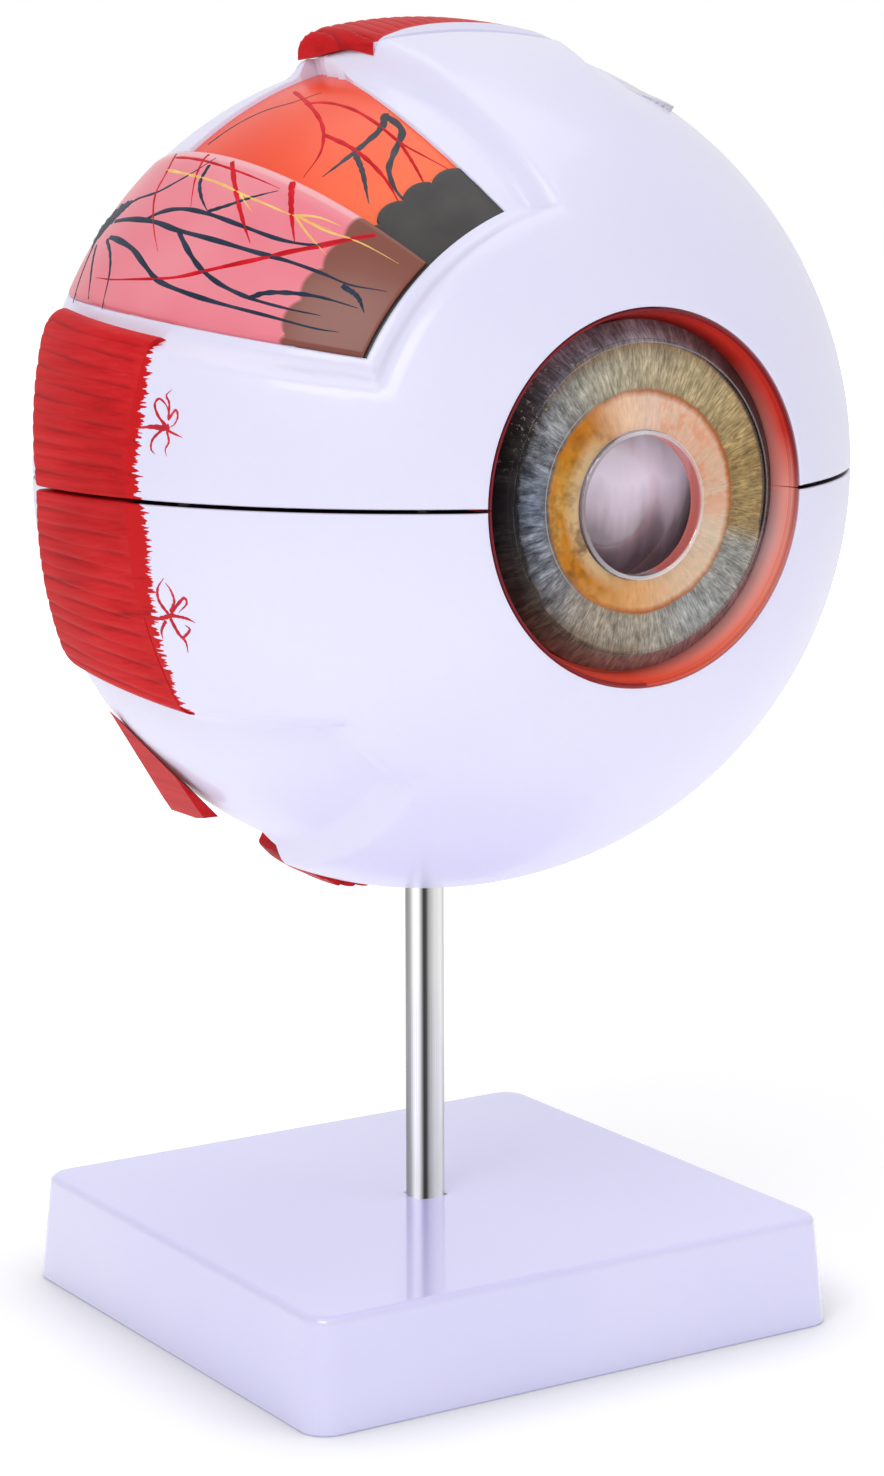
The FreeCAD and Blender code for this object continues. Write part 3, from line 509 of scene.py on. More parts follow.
def field_depth(p, q):
    """Distance inside the stepped-down fields. Upright walls are judged at q, the lowered point."""
    x, y, z = p.T
    side, height, low_y = np.abs(q[:, 0]), q[:, 2], q[:, 1]
    past_strap = side - STRAP_HALF - STRAP_SLOPE * low_y
    past_bottom = side - BOTTOM_HALF

    def front(temple, nose=y - NOSE_FRONT):
        return np.where(x < 0, temple, nose)

    fields = [
        [past_strap, height - UPPER_SLOPE * low_y - UPPER_FLOOR, front(y - UPPER_FRONT)],
        [past_bottom, -LOWER_TOP - height, front((y - LOWER_FRONT) * BLUNT)],
        [past_bottom, z + LOWER_TOP, MUSCLE_TOP - z, (y - MUSCLE_FRONT) * CRISP],
        [past_bottom, z + 50, -22 - z, front(y + 22)],
        [BOTTOM_HALF - x, x + UNDER_LEFT, -z - 20, (y - UNDER_EDGE) * CRISP],
        [y + 3, np.maximum.reduce([past_strap, y - SEAT_REAR, -z])]]
    return np.maximum.reduce([np.minimum.reduce(field) for field in fields])


def strap_top(directions):
    """Distance to the outside of the raised straps, with the top strap and its muscle's seat."""
    x, y, z = (directions * BALL).T
    uy, uz = directions[:, 1], np.maximum(directions[:, 2], 0.01)
    a, b, c = uy ** 2 + uz ** 2, -2 * (DRUM_Y * uy + DRUM_Z * uz), DRUM_Y ** 2 + DRUM_Z ** 2 - DRUM_R ** 2
    drum = np.maximum((-b + np.sqrt(b ** 2 - 4 * a * c)) / (2 * a) - CROWN * x ** 2, BALL)
    seat = SEAT_HEIGHT / np.maximum(uz + SEAT_SLOPE * uy, 0.3) - SEAT_CROWN * x ** 2
    top = drum + (seat - drum) * step(y - SEAT_FRONT)
    beside = step(np.abs(x) - STRAP_HALF - STRAP_SLOPE * y)
    return np.where(z > 30, top + (BALL - top) * beside, BALL)


def outside(directions):
    """Distance in mm to the outside of the white shell along unit directions."""
    low, high = np.zeros(len(directions)), np.ones(len(directions))
    for _ in range(14):
        share = (low + high) / 2
        lowered = directions * (BALL - RECESS * share)[:, None]
        deeper = step(field_depth(directions * BALL, lowered)) > share
        low, high = np.where(deeper, share, low), np.where(deeper, high, share)
    top = strap_top(directions)
    return top + (skin(RECESSED, directions) - top) * (low + high) / 2


print("on the line of sight:", outside(np.array([[0.0, -1.0, 0.0]])), "mm")

# %% [markdown]
# Each half starts as a ball whose poles lie on the line of sight. Every step needs a few parallel cuts
# where its shoulder bends, and the window, the seam and the front opening need a few more for their
# rounded rims. Only then are the vertices moved out to the shell's surface.

# %% Cut lines
RIM_LINES = (0.0, 0.06, 0.2, 0.5)
OPENING_R = 30.8
SEAM_HALF = 0.3
RIM_Y = -math.sqrt(BALL ** 2 - OPENING_R ** 2)
WINDOW_TOP = Vector((1.0, -0.359, 0.911)).normalized()
WINDOW_TOP_REACH = 0.439 * RECESSED
WINDOW_BOTTOM = Vector((0.129, -0.072, 1.0)).normalized()
WINDOW_BOTTOM_REACH = 0.301 * RECESSED
BREAK_TURN = 39.3
BREAK = Vector((math.cos(math.radians(BREAK_TURN)), 0, math.sin(math.radians(BREAK_TURN))))
WINDOW_Y = (-51.5, 2.5, 16.0)


def step_cuts(obj, normal, offset, region, upright=False, crisp=1.0):
    """Parallel cuts for one step. An upright wall is aimed at the place its points are lowered to."""
    size = Vector(normal).length / crisp
    for distance, share in zip(STEP_OFFSETS, STEP_SHARES):
        grown = BALL / (BALL - RECESS * share) if upright else 1
        cut(obj, normal, (offset + distance * size) * grown, region)


def turn_of(p):
    return np.degrees(np.arctan2(-p[:, 0], p[:, 2]))


def ball_y(y):
    """Depth on the plain ball of the point whose recessed skin lies at depth y."""
    polar, reach = skin_profile(RECESSED)
    polar = np.interp(y, -np.cos(np.radians(polar)) * reach, polar)
    return -BALL * math.cos(math.radians(polar))


def half_ball(up):
    """One half of the ball, open in front, with cuts for everything that bends."""
    select()
    bpy.ops.mesh.primitive_uv_sphere_add(segments=192, ring_count=96, radius=BALL * MM, location=EYE,
                                         rotation=(math.pi / 2, 0, 0))
    obj = bpy.context.object
    fix_place()
    cut(obj, (0, 0, 1), SEAM_HALF * up, clear_inner=up > 0, clear_outer=up < 0)
    cut(obj, (0, 1, 0), RIM_Y, clear_inner=True)
    for line in RIM_LINES[1:]:
        cut(obj, (0, 0, 1), up * (SEAM_HALF + line), lambda c: np.abs(c[:, 2]) < 4)
        cut(obj, (0, 1, 0), RIM_Y + line, lambda c: c[:, 1] < -60)
    return obj


def window_distance(p):
    """Distance in mm outside the window, negative inside. The part below the break reaches further back."""
    y = p[:, 1]
    shared = np.maximum(WINDOW_Y[0] - y, WINDOW_BOTTOM_REACH - p @ np.array(WINDOW_BOTTOM))
    upper = np.maximum.reduce([shared, p @ np.array(WINDOW_TOP) - WINDOW_TOP_REACH, y - WINDOW_Y[1]])
    lower = np.maximum.reduce([shared, p @ np.array(BREAK), y - WINDOW_Y[2]])
    return np.where(p[:, 0] < 0, np.minimum(upper, lower), 99.0)


def window_cuts(obj):
    """Cuts along the sides of the window and just outside them."""
    near = 3.0
    grown = BALL / RECESSED

    def close(c):
        return window_distance(c / grown) < near

    for line in RIM_LINES:
        cut(obj, WINDOW_TOP, (WINDOW_TOP_REACH + line) * grown, close)
        cut(obj, WINDOW_BOTTOM, (WINDOW_BOTTOM_REACH - line) * grown, close)
        cut(obj, BREAK, line, lambda c: close(c) & (c[:, 1] > ball_y(WINDOW_Y[1]) - near))
        for y, way in zip(WINDOW_Y, (-1, 1, 1)):
            cut(obj, (0, 1, 0), ball_y(y) + way * line, close)


def beyond(x, y=None, z=None, sign=0):
    """Rule for faces: |x| past a limit, y and z within limits, and on one side if a sign is given."""
    def rule(c):
        inside = (np.abs(c[:, 0]) > x) & (c[:, 0] * sign >= 0)
        for axis, limits in ((1, y), (2, z)):
            if limits:
                inside &= (c[:, axis] > limits[0]) & (c[:, axis] < limits[1])
        return inside
    return rule


print("window edges on the plain ball:", [round(ball_y(y), 2) for y in WINDOW_Y])

# %% [markdown]
# The upper half carries the top strap, the field round the window, and the window itself. The lower half
# carries the bottom strap. Both have a recess for each side muscle.

# %% Upper half: cuts
upper_half = half_ball(1)
for sign in (-1, 1):
    step_cuts(upper_half, (sign, -STRAP_SLOPE, 0), STRAP_HALF, beyond(2, z=(45, 90), sign=sign), True)
for sign, front in ((-1, -64), (1, -14)):
    step_cuts(upper_half, (0, -UPPER_SLOPE, 1), UPPER_FLOOR, beyond(24, (front, 60), (12, 48), sign), True)
step_cuts(upper_half, (0, 1, 0), UPPER_FRONT, beyond(6, z=(15, 80), sign=-1))
step_cuts(upper_half, (0, 1, 0), NOSE_FRONT, beyond(14, z=(25, 80), sign=1))
step_cuts(upper_half, (0, 1, 0), MUSCLE_FRONT, beyond(30, z=(-1, 33)), crisp=CRISP)
step_cuts(upper_half, (0, 0, 1), MUSCLE_TOP, beyond(30, (-26, -6), sign=1))
for y in (SEAT_FRONT, SEAT_REAR):
    step_cuts(upper_half, (0, 1, 0), y, lambda c: (np.abs(c[:, 0]) < 27) & (c[:, 2] > 50))
window_cuts(upper_half)
print("upper half:", len(upper_half.data.polygons), "faces")

# %% Lower half: cuts
lower_half = half_ball(-1)
for sign, front in ((-1, -52), (1, -14)):
    step_cuts(lower_half, (sign, 0, 0), BOTTOM_HALF, beyond(20, (front, 3), (-90, -28), sign), True)
step_cuts(lower_half, (0, 0, -1), LOWER_TOP, beyond(28, (-53, -18), sign=-1), True)
step_cuts(lower_half, (0, 0, -1), LOWER_TOP, beyond(28, (-27, -6), sign=1))
step_cuts(lower_half, (0, 1, 0), LOWER_FRONT, beyond(24, z=(-90, -28), sign=-1), crisp=BLUNT)
step_cuts(lower_half, (0, 1, 0), NOSE_FRONT, beyond(28, z=(-90, -32), sign=1))
step_cuts(lower_half, (0, 1, 0), MUSCLE_FRONT, beyond(30, z=(-39, 1)), crisp=CRISP)
step_cuts(lower_half, (0, 1, 0), UNDER_EDGE, lambda c: (np.abs(c[:, 0]) < 36) & (c[:, 2] < -40), crisp=CRISP)
step_cuts(lower_half, (-1, 0, 0), UNDER_LEFT, beyond(20, (-7, 20), (-90, -40), -1))
print("lower half:", len(lower_half.data.polygons), "faces")

# %% [markdown]
# Now the surface: every vertex keeps its direction and takes the shell's distance. Rims are rounded by
# half a millimetre, the window's faces are deleted, and the wall is given by a solidify whose inner
# side is then set exactly on the inside of the shell.

# %% Shape and thicken the halves
SHELL_INSIDE = 68.2
LAND = 0.2


def rounding(distance, radius=0.5):
    """How far a rounded rim has fallen at a distance from its edge."""
    reach = np.clip(radius - distance, 0, radius)
    return radius - np.sqrt(radius ** 2 - reach ** 2)


def set_ring(points, chosen, radius, depth):
    """Move the chosen points onto a circle round the line of sight."""
    across = np.hypot(points[chosen, 0], points[chosen, 2])
    points[chosen] *= np.stack([radius / across, np.ones(len(across)), radius / across], axis=1)
    points[chosen, 1] = depth


def make_shell(obj, up, name, body, replaced):
    points = read(obj)
    directions = unit(points)
    reach = outside(directions)
    fall = np.maximum(rounding(np.abs(points[:, 2]) - SEAM_HALF, 0.3), rounding(points[:, 1] - RIM_Y))
    if up > 0:
        from_window = window_distance(directions * reach[:, None])
        fall = np.maximum(fall, rounding(np.maximum(from_window, 0), 0.3))
    surface_points = directions * (reach - fall)[:, None]
    seam = np.abs(np.abs(points[:, 2]) - SEAM_HALF) < 0.001
    surface_points[seam, 2] = points[seam, 2]
    write(obj, surface_points)
    if up > 0:
        drop_faces(obj, window_distance(centres(obj)) < -0.01)
        seam = np.abs(read(obj)[:, 2] - SEAM_HALF) < 0.001

    def inside(outer):
        inner = inward(SHELL_INSIDE)(outer)
        inner[seam, 2] = -LAND if up > 0 else -SEAM_HALF
        rim = (np.hypot(inner[:, 0], inner[:, 2]) < OPENING_R) & (inner[:, 1] < 0)
        set_ring(inner, rim, OPENING_R, -math.sqrt(SHELL_INSIDE ** 2 - OPENING_R ** 2))
        front = (np.abs(outer[:, 1] - WINDOW_Y[0]) < 0.3) & (np.abs(window_distance(outer)) < 0.3) & (up > 0)
        set_ring(inner, front, math.sqrt(SHELL_INSIDE ** 2 - WINDOW_Y[0] ** 2), WINDOW_Y[0])
        return inner

    return settle(thicken(obj, inside), name, body, shell_white, replaced, angle=50)


upper_shell = make_shell(upper_half, 1, "shell_upper", "eye_upper", ("sclera_upper",))
lower_shell = make_shell(lower_half, -1, "shell_lower", "eye_lower", ("sclera_lower",))
print("shells:", len(upper_shell.data.polygons), len(lower_shell.data.polygons), "faces")

# %% [markdown]
# Curved skins such as the muscles and the window's layers are sheets: a flat grid whose rows and columns
# are bent to their place by a rule, then thickened inwards to a given depth.

# %% Sheet helper


def sheet_piece(columns, rows, rule, inside=None):
    """Grid with one vertex per column and row value, bent by rule(column, row) -> mm from the centre."""
    select()
    bpy.ops.mesh.primitive_grid_add(x_subdivisions=len(columns) - 1, y_subdivisions=len(rows) - 1, size=2)
    obj = bpy.context.object
    flat = numbers(obj.data.vertices, "co")
    column, row = (np.round((flat[:, axis] + 1) / 2 * (len(values) - 1)).astype(int)
                   for axis, values in enumerate((columns, rows)))
    write(obj, rule(np.asarray(columns)[column], np.asarray(rows)[row]))
    return thicken(obj, inside) if inside else obj


def spread(low, high, spacing, rims=(0.0, 0.12, 0.35, 0.8)):
    """Values from low to high, closer together at both ends for a rounded rim."""
    middle = np.linspace(low + rims[-1], high - rims[-1], max(2, round((high - low) / spacing)))
    return np.concatenate([low + np.array(rims[:-1]), middle, high - np.array(rims[:-1])[::-1]])


print("a rim of 0.8 mm:", spread(0, 10, 2))

# %% [markdown]
# The side muscles are pads in the recesses. Fine grooves fan out along their fibres, from the seam to
# the slanting far edge, and shade is painted into the grooves as a darker red. The free corner is
# rounded in outline, and all free edges are soft.

# %% Muscle red
MUSCLE_LIGHT = (0.700, 0.0260, 0.0300)
# Painted shade in the muscles' grooves.
GROOVE_SHADE = (0.24, 0.004, 0.008)


def muscle_paint(name, along, across):
    """Moulded red with fine strands; `along` and `across` are the stretch of their noise."""
    material, shader = surface(name, Roughness=0.45, Specular_IOR_Level=0.10)
    strands = stretched_noise((across[0], along, across[1]))
    clouds = noise(place(), 42.0)
    colour = ramp(strands, [(0.24, MUSCLE_DARK), (0.42, MUSCLE_RED), (0.78, MUSCLE_LIGHT)])
    colour = mixed(levels(clouds, (0.42, 0.0), (0.8, 0.45)), colour, MUSCLE_DARK)
    # Painted shade in the grooves.
    colour = mixed(levels(noted("groove"), (0.25, 0.0), (0.9, 0.55)), colour, GROOVE_SHADE)
    colour = mixed(ranged(noted("white"), 0.02, 0.14), colour, SHELL_COLOUR)
    wire(shader, Base_Color=colour)
    bump(shader, strands, 0.25, 0.0004)
    return material


side_red = muscle_paint("side_muscle_red", 22.0, (420.0, 760.0))
top_red = muscle_paint("top_muscle_red", 60.0, (620.0, 260.0))

# %% Side muscles
PAD_FRONT, PAD_REAR = -23.7, 2.6
PAD_TOP = 74.96
PAD_CORNER, PAD_EDGE = 4.0, 1.5
PAD_UNDER = RECESSED + 0.05
GROOVE_DEPTH = 0.22
GROOVE_DROP = 0.14


def groove(position):
    """Share of a groove's depth at a place counted in strands: a quick drop, then a slow rise."""
    share = np.mod(position, 1.0)
    rise = (share - GROOVE_DROP) / (1 - GROOVE_DROP)
    return np.where(share < GROOVE_DROP, share / GROOVE_DROP, (1 - rise) ** 3)


def groove_lines(count):
    """Shares of the width with enough lines for each groove."""
    inside = (0.0, 0.05, 0.14, 0.22, 0.34, 0.52, 0.76)
    lines = [(k + f) / count for k in range(count) for f in inside]
    return np.unique(np.round(lines + [0.004, 0.012, 0.028, 0.972, 0.988, 0.996, 1.0], 5))


def side_pad(sign, up, name, body, replaced, strands):
    """Half of a side muscle, on its side of the seam. Columns and rows are shares of its outline."""
    seam, far, slope, lean = (SEAM_HALF, 28.8, 0.12, 0.25) if up > 0 else (-SEAM_HALF, -31.32, 0.2, -0.1)
    out_rear = np.array([1, -lean]) / math.hypot(1, lean)
    out_far = np.array([-slope, 1]) * up / math.hypot(1, slope)
    from_rear = out_rear[0] * PAD_REAR
    from_far = out_far[1] * far
    middle = np.linalg.solve([out_rear, out_far], [from_rear - PAD_CORNER, from_far - PAD_CORNER])
    kept = {}

    def rule(a, v):
        y = PAD_FRONT + a * (PAD_REAR - PAD_FRONT + lean * (seam + v * (far - seam)))
        y = y / (1 - a * v * lean * slope)
        z = seam + v * (far + slope * y - seam)
        p = np.stack([y, z], axis=1) - middle
        to_rear, to_far = p @ out_rear, p @ out_far
        parts = np.linalg.solve(np.array([out_rear, out_far]).T, p.T)
        corner = (parts[0] > 0) & (parts[1] > 0)
        square = np.maximum(to_rear, to_far)
        shrink = np.where(corner, square / np.maximum(np.hypot(*p.T), 1e-6), 1)
        y, z = (middle + p * shrink[:, None]).T
        free = PAD_CORNER - square
        depth = groove(v * strands + 0.05 * np.sin(y * 0.22 + v * 30)) * (v > 0.4 / strands)
        depth = depth * (0.75 + 0.25 * np.sin(y * 0.23 + np.floor(v * strands) * 2.4))
        depth = depth * np.clip(a / 0.09, 0, 1)
        kept["groove"] = depth
        front = np.clip(1 - a / 0.03, 0, 1)
        fall = rounding(free, PAD_EDGE) + rounding(np.abs(z) - SEAM_HALF, 0.5)
        reach = PAD_TOP + 0.01 * front - GROOVE_DEPTH * depth - fall
        return np.stack([sign * np.sqrt(np.maximum(reach ** 2 - y ** 2 - z ** 2, 0)), y, z], axis=1)

    columns = np.unique(np.concatenate([np.linspace(0, 1, 36), [0.01, 0.95, 0.98, 0.99, 0.996]]))
    obj = sheet_piece(columns, groove_lines(strands), rule)
    note(obj, "groove", kept["groove"])
    return settle(thicken(obj, inward(PAD_UNDER)), name, body, side_red, replaced, angle=50)


for sign, side in ((-1, "lateral"), (1, "medial")):
    for up, half, strands in ((1, "upper", 12), (-1, "lower", 13)):
        side_pad(sign, up, f"{side}_rectus_pad_{half}", "eye_" + half, (f"{side}_rectus_{half}",), strands)
print("side muscles made")

# %% [markdown]
# The upper muscle lies on the sloping seat of the top strap and is as wide as the strap. Its strands run
# front to back as well. The lower muscle lies on the recessed bottom, notched for the pole's boss, and
# the lower slanting muscle leaves the ball as a flat strap.

# %% Upper and lower muscles
TOP_FRONT, TOP_REAR = -14.95, 4.0
TOP_PITCH, TOP_GROOVE = 2.3, 0.4
# Front edge of the red over the pad's width: (places across, depths).
TOP_WHITE = ((-22, -17, -11, -5, 5, 12, 22), (-15.5, -14.5, -12.0, -10.4, -8.6, -6.5, 2.0))
UNDER_HALF, UNDER_FRONT, UNDER_REAR = 32.95, -4.55, 13.0
UNDER_PITCH, UNDER_BULGE = 3.0, 1.1
BOSS_SPACE_R = 5.3
kept = {}


def drum_height(y):
    return DRUM_Z + np.sqrt(DRUM_R ** 2 - (y - DRUM_Y) ** 2)


def top_rule(share, y):
    half = STRAP_HALF + STRAP_SLOPE * y - 0.05
    x = share * half
    depth = groove(x / TOP_PITCH + 0.1 * np.sin(y * 0.5))
    front = np.interp(x, *TOP_WHITE)
    depth = depth * np.clip((y - front) / 1.5, 0, 1)
    kept["groove"] = depth
    kept["white"] = front - y
    fall = np.maximum(rounding(half - np.abs(x), 2.6), rounding(TOP_REAR - y, 3.6))
    return np.stack([x, y, drum_height(y) - CROWN * x ** 2 - 0.03 - TOP_GROOVE * depth - fall], axis=1)


def top_seat(outer):
    x, y = outer[:, 0], outer[:, 1]
    return np.stack([x, y, SEAT_HEIGHT + 0.05 - SEAT_CROWN * x ** 2 - SEAT_SLOPE * y], axis=1)


shares = np.unique(np.round(np.concatenate([np.linspace(-1, 1, 161), [-0.994, 0.994, -0.983, 0.983]]), 4))
top_depths = spread(TOP_FRONT, TOP_REAR, 0.7, (0.0, 0.06, 0.2, 0.5, 1.1, 2.0, 3.0))
top_pad = sheet_piece(shares, top_depths, top_rule)
note(top_pad, "groove", kept["groove"])
note(top_pad, "white", kept["white"])
thicken(top_pad, top_seat)
settle(top_pad, "superior_rectus_pad", "eye_upper", top_red, ("superior_rectus",), angle=40)


def under_rule(x, y):
    free = np.minimum(np.minimum(UNDER_HALF - x, x + UNDER_LEFT), UNDER_REAR - y)
    depth = groove(x / UNDER_PITCH + 0.12 * np.sin(y * 0.4))
    kept["groove"] = depth
    bulge = UNDER_BULGE * np.clip((x + UNDER_LEFT) / 6, 0, 1) * np.clip((-x - 12) / 8, 0, 1)
    reach = BALL - 0.05 - TOP_GROOVE * depth - rounding(free, PAD_EDGE) + bulge
    return np.stack([x, y, -np.sqrt(reach ** 2 - x ** 2 - y ** 2)], axis=1)


under_columns = spread(0.05 - UNDER_LEFT, UNDER_HALF, 0.45)
under_pad = sheet_piece(under_columns, spread(UNDER_FRONT, UNDER_REAR, 1.2), under_rule)
note(under_pad, "groove", kept["groove"])
thicken(under_pad, inward(PAD_UNDER))
select()
bpy.ops.mesh.primitive_cylinder_add(vertices=64, radius=BOSS_SPACE_R * MM, depth=0.03,
                                    location=EYE - Vector((0, 0, 0.073)))
boss_space = bpy.context.object
modify(under_pad, "BOOLEAN", object=boss_space, operation="DIFFERENCE", solver="EXACT")
bpy.data.objects.remove(boss_space)
settle(under_pad, "inferior_rectus_pad", "eye_lower", top_red, ("inferior_rectus",), angle=40)
print("upper and lower muscles made")

# %% [markdown]
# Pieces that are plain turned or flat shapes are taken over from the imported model: its triangles are
# joined into one surface, their sharp edges are kept, and the piece gets its own finish.

# %% Pieces taken over


def taken_over(source, name, body, material, angle=35):
    """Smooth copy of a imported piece, which it replaces."""
    original = frame["nodes"][source]
    select(original)
    bpy.ops.object.duplicate()
    obj = bpy.context.object
    bpy.ops.object.parent_clear(type="CLEAR_KEEP_TRANSFORM")
    fix_place()
    return settle(obj, name, body, material, (source,), angle)


def plain(name, colour, **values):
    """Material of one colour with a very slight cloud in it."""
    material, shader = surface(name, **values)
    dark = tuple(channel * 0.9 for channel in colour)
    cloud = noise(place(), 60.0)
    wire(shader, Base_Color=ramp(cloud, [(0.3, dark), (0.7, colour)]))
    return material


def full_turn(first, second):
    """Share of a full turn from the two sides of an angle."""
    return plus(times(calc("ARCTAN2", first, second), 0.5 / math.pi), 0.5)


# %% [markdown]
# The lining is lit only through the front opening, so light and shade are painted on its collar: one
# ramp round the line of sight, another one deeper in, and a faint glow towards the front. It also has thin
# dark lines along its rim. The pole is polished: its stripes are painted reflections of a bright room, the
# same on both sides, darkest towards the camera, and they glow a little.

# %% Paint of the lining and the pole
COLLAR_LIGHT_AND_SHADE = [(0.0, (0.84, 0.080, 0.036)), (0.1, (0.60, 0.050, 0.034)), (0.2, (0.10, 0.018, 0.018)),
               (0.34, (0.05, 0.012, 0.014)), (0.40, (0.30, 0.016, 0.014)), (0.5, (0.30, 0.016, 0.014)),
               (0.58, (0.62, 0.030, 0.018)), (0.70, (0.66, 0.040, 0.024)), (0.755, (0.86, 0.32, 0.27)),
               (0.84, (0.90, 0.27, 0.20)), (0.93, (0.88, 0.15, 0.09)), (1.0, (0.84, 0.080, 0.036))]
DEEPER_LIGHT_AND_SHADE = [(0.0, (0.84, 0.10, 0.06)), (0.5, (0.34, 0.02, 0.02)), (0.62, (0.40, 0.02, 0.014)),
               (0.74, (0.84, 0.30, 0.26)), (0.80, (0.86, 0.52, 0.52)), (0.9, (0.88, 0.40, 0.36)),
               (1.0, (0.84, 0.10, 0.06))]
RIM_LINE_RED = (0.17, 0.010, 0.018)
POLE_FRONT = 180 - 32.5
POLE_REFLECTIONS = ((-88, 0.08), (-66, 0.20), (-48, 0.38), (-31, 1.0), (-18, 0.9), (-8, 0.30), (-3, 0.045),
              (5, 0.055), (13, 0.36), (30, 0.64), (56, 0.78), (74, 0.42))

lining_paint, shader = surface("lining_orange", Roughness=0.4, Specular_IOR_Level=0.2)
spot = parts(place())
turn = full_turn(spot["X"], minus(spot["Z"], EYE.z))
depth = eye_axes()[1]
# Painted light and shade: one ramp round the collar's front, another deeper in.
shaded_tone = mixed(ranged(depth, -66.6, -63.4), ramp(turn, COLLAR_LIGHT_AND_SHADE), ramp(turn, DEEPER_LIGHT_AND_SHADE))
rim = levels(ranged(depth, -68.2, -66.2), (0.05, 0.95), (0.25, 0.75), (0.55, 0.0), (0.62, 0.5),
             (0.70, 0.0), (0.80, 0.45), (0.88, 0.0))
where = levels(turn, (0.5, 1.0), (0.72, 1.0), (0.80, 0.55), (0.95, 0.35))
shaded_tone = mixed(times(rim, where), shaded_tone, RIM_LINE_RED)
# Painted light: the collar glows a little towards the front.
wire(shader, Base_Color=shaded_tone, Emission_Color=shaded_tone,
     Emission_Strength=times(ranged(depth, -58.0, -62.0), 0.16))

nerve_white = plain("nerve_white", (0.80, 0.78, 0.86), Roughness=0.4)
nerve_yellow = plain("nerve_yellow", (0.85, 0.62, 0.20), Roughness=0.4)
pole_steel, shader = surface("pole_steel", Metallic=1.0, Roughness=0.18)
spot = parts(place())
# Painted reflections: stripes of a bright room round the pole, in its colour and its glow.
painted_reflections = levels(full_turn(spot["X"], times(spot["Y"], -1.0)),
               *sorted(((POLE_FRONT + half_turn + angle) % 360 / 360, value)
                       for half_turn in (0, 180) for angle, value in POLE_REFLECTIONS))
wire(shader, Base_Color=mixed(1.0, painted_reflections, (0.36,) * 3, "MULTIPLY"), Emission_Color=painted_reflections,
     Emission_Strength=0.70)
steel = plain("steel", (0.75, 0.75, 0.76), Metallic=1.0, Roughness=0.25)

# %% [markdown]
# The slanting lower muscle is cut to its visible outline: three planes for its front, its face and its
# foot, and one across the line of sight that tapers it. The tendon above is pulled in to lie on the
# crowned strap.

# %% Pieces taken over, with their cuts
VIEW_TURN, VIEW_PITCH = math.radians(-32.5), math.radians(10)
TAPER_LEAN, TAPER_REACH = math.radians(45), -68.9
OBLIQUE_PLANES = (((0, 1, 0.15), 10.7 - 0.15 * 59.2), ((-0.823, 0, -0.569), 71.29), ((0, -0.18, -1), 58.9))
TENDON_SINK = 2.0

right = np.array([math.cos(VIEW_TURN), math.sin(VIEW_TURN), 0])
above = np.array([-math.sin(VIEW_TURN) * math.sin(VIEW_PITCH), math.cos(VIEW_TURN) * math.sin(VIEW_PITCH),
                  math.cos(VIEW_PITCH)])
taper = right * math.sin(TAPER_LEAN) + above * math.cos(TAPER_LEAN)
strap = taken_over("inferior_oblique", "inferior_oblique_strap", "eye_lower", side_red)
for normal, offset in (*OBLIQUE_PLANES, (tuple(taper), TAPER_REACH)):
    cut(strap, normal, offset, clear_outer=True, use_fill=True)
settle(strap, "inferior_oblique_strap", "eye_lower", side_red, angle=35)
tendon = taken_over("superior_oblique", "superior_oblique_tendon", "eye_upper", nerve_white)
points = read(tendon)
share = np.clip((points[:, 2] - 60) / 6, 0, 1)
write(tendon, points * (1 - TENDON_SINK * share / np.linalg.norm(points, axis=1))[:, None])
taken_over("optic_nerve_sheath", "nerve_sheath", "eye_lower", nerve_white)
taken_over("optic_nerve_core", "nerve_core", "eye_lower", nerve_yellow)
taken_over("locating_pins", "seam_pins", "eye_lower", shell_white)
taken_over("support_pole", "pole", "stand", pole_steel)
for source in ("pole_nut", "pole_washer", "socket_screw", "socket_washer"):
    taken_over(source, source + "_part", "stand", steel)
print("pieces taken over")

# %% [markdown]
# The coloured lining is swept in two halves from one wall: pairs of outer and inner points, from the
# bevelled front of its collar over the ledge and round to the back.

# %% Lining halves
LINING_GAP = 0.1
LINING_OUT, LINING_IN = 67.6, 65.4
COLLAR_R, COLLAR_BORE, LEDGE_BORE = 30.5, 28.9, 25.0
COLLAR_FRONT, LEDGE = RIM_Y + 0.3, RIM_Y + 6.9
LEDGE_REAR = -math.sqrt(LINING_IN ** 2 - LEDGE_BORE ** 2)
LINING_STEPS = 96


def on_ball(side, polar):
    """(radius, depth) of a skin at a polar angle."""
    reach = np.interp(polar, *skin_profile(side))
    return reach * math.sin(math.radians(polar)), -reach * math.cos(math.radians(polar))


meet = -math.sqrt(LINING_OUT ** 2 - COLLAR_R ** 2)
wall = [((COLLAR_R, COLLAR_FRONT), (COLLAR_R - 0.35, COLLAR_FRONT)),
        ((COLLAR_R, COLLAR_FRONT + 3), (COLLAR_BORE + 0.6, COLLAR_FRONT + 3)),
        ((COLLAR_R, LEDGE - 0.5), (COLLAR_BORE, LEDGE - 0.5)),
        ((COLLAR_R, LEDGE - 0.2), (COLLAR_BORE, LEDGE)),
        ((COLLAR_R, LEDGE), (LEDGE_BORE, LEDGE)), ((COLLAR_R, meet), (LEDGE_BORE, LEDGE_REAR))]
first_out = math.degrees(math.asin(COLLAR_R / LINING_OUT))
first_in = math.degrees(math.asin(LEDGE_BORE / LINING_IN))
for share in np.linspace(0.015, 1, 70):
    wall.append((on_ball(LINING_OUT, first_out + share * (180 - first_out)),
                 on_ball(LINING_IN, first_in + share * (180 - first_in))))


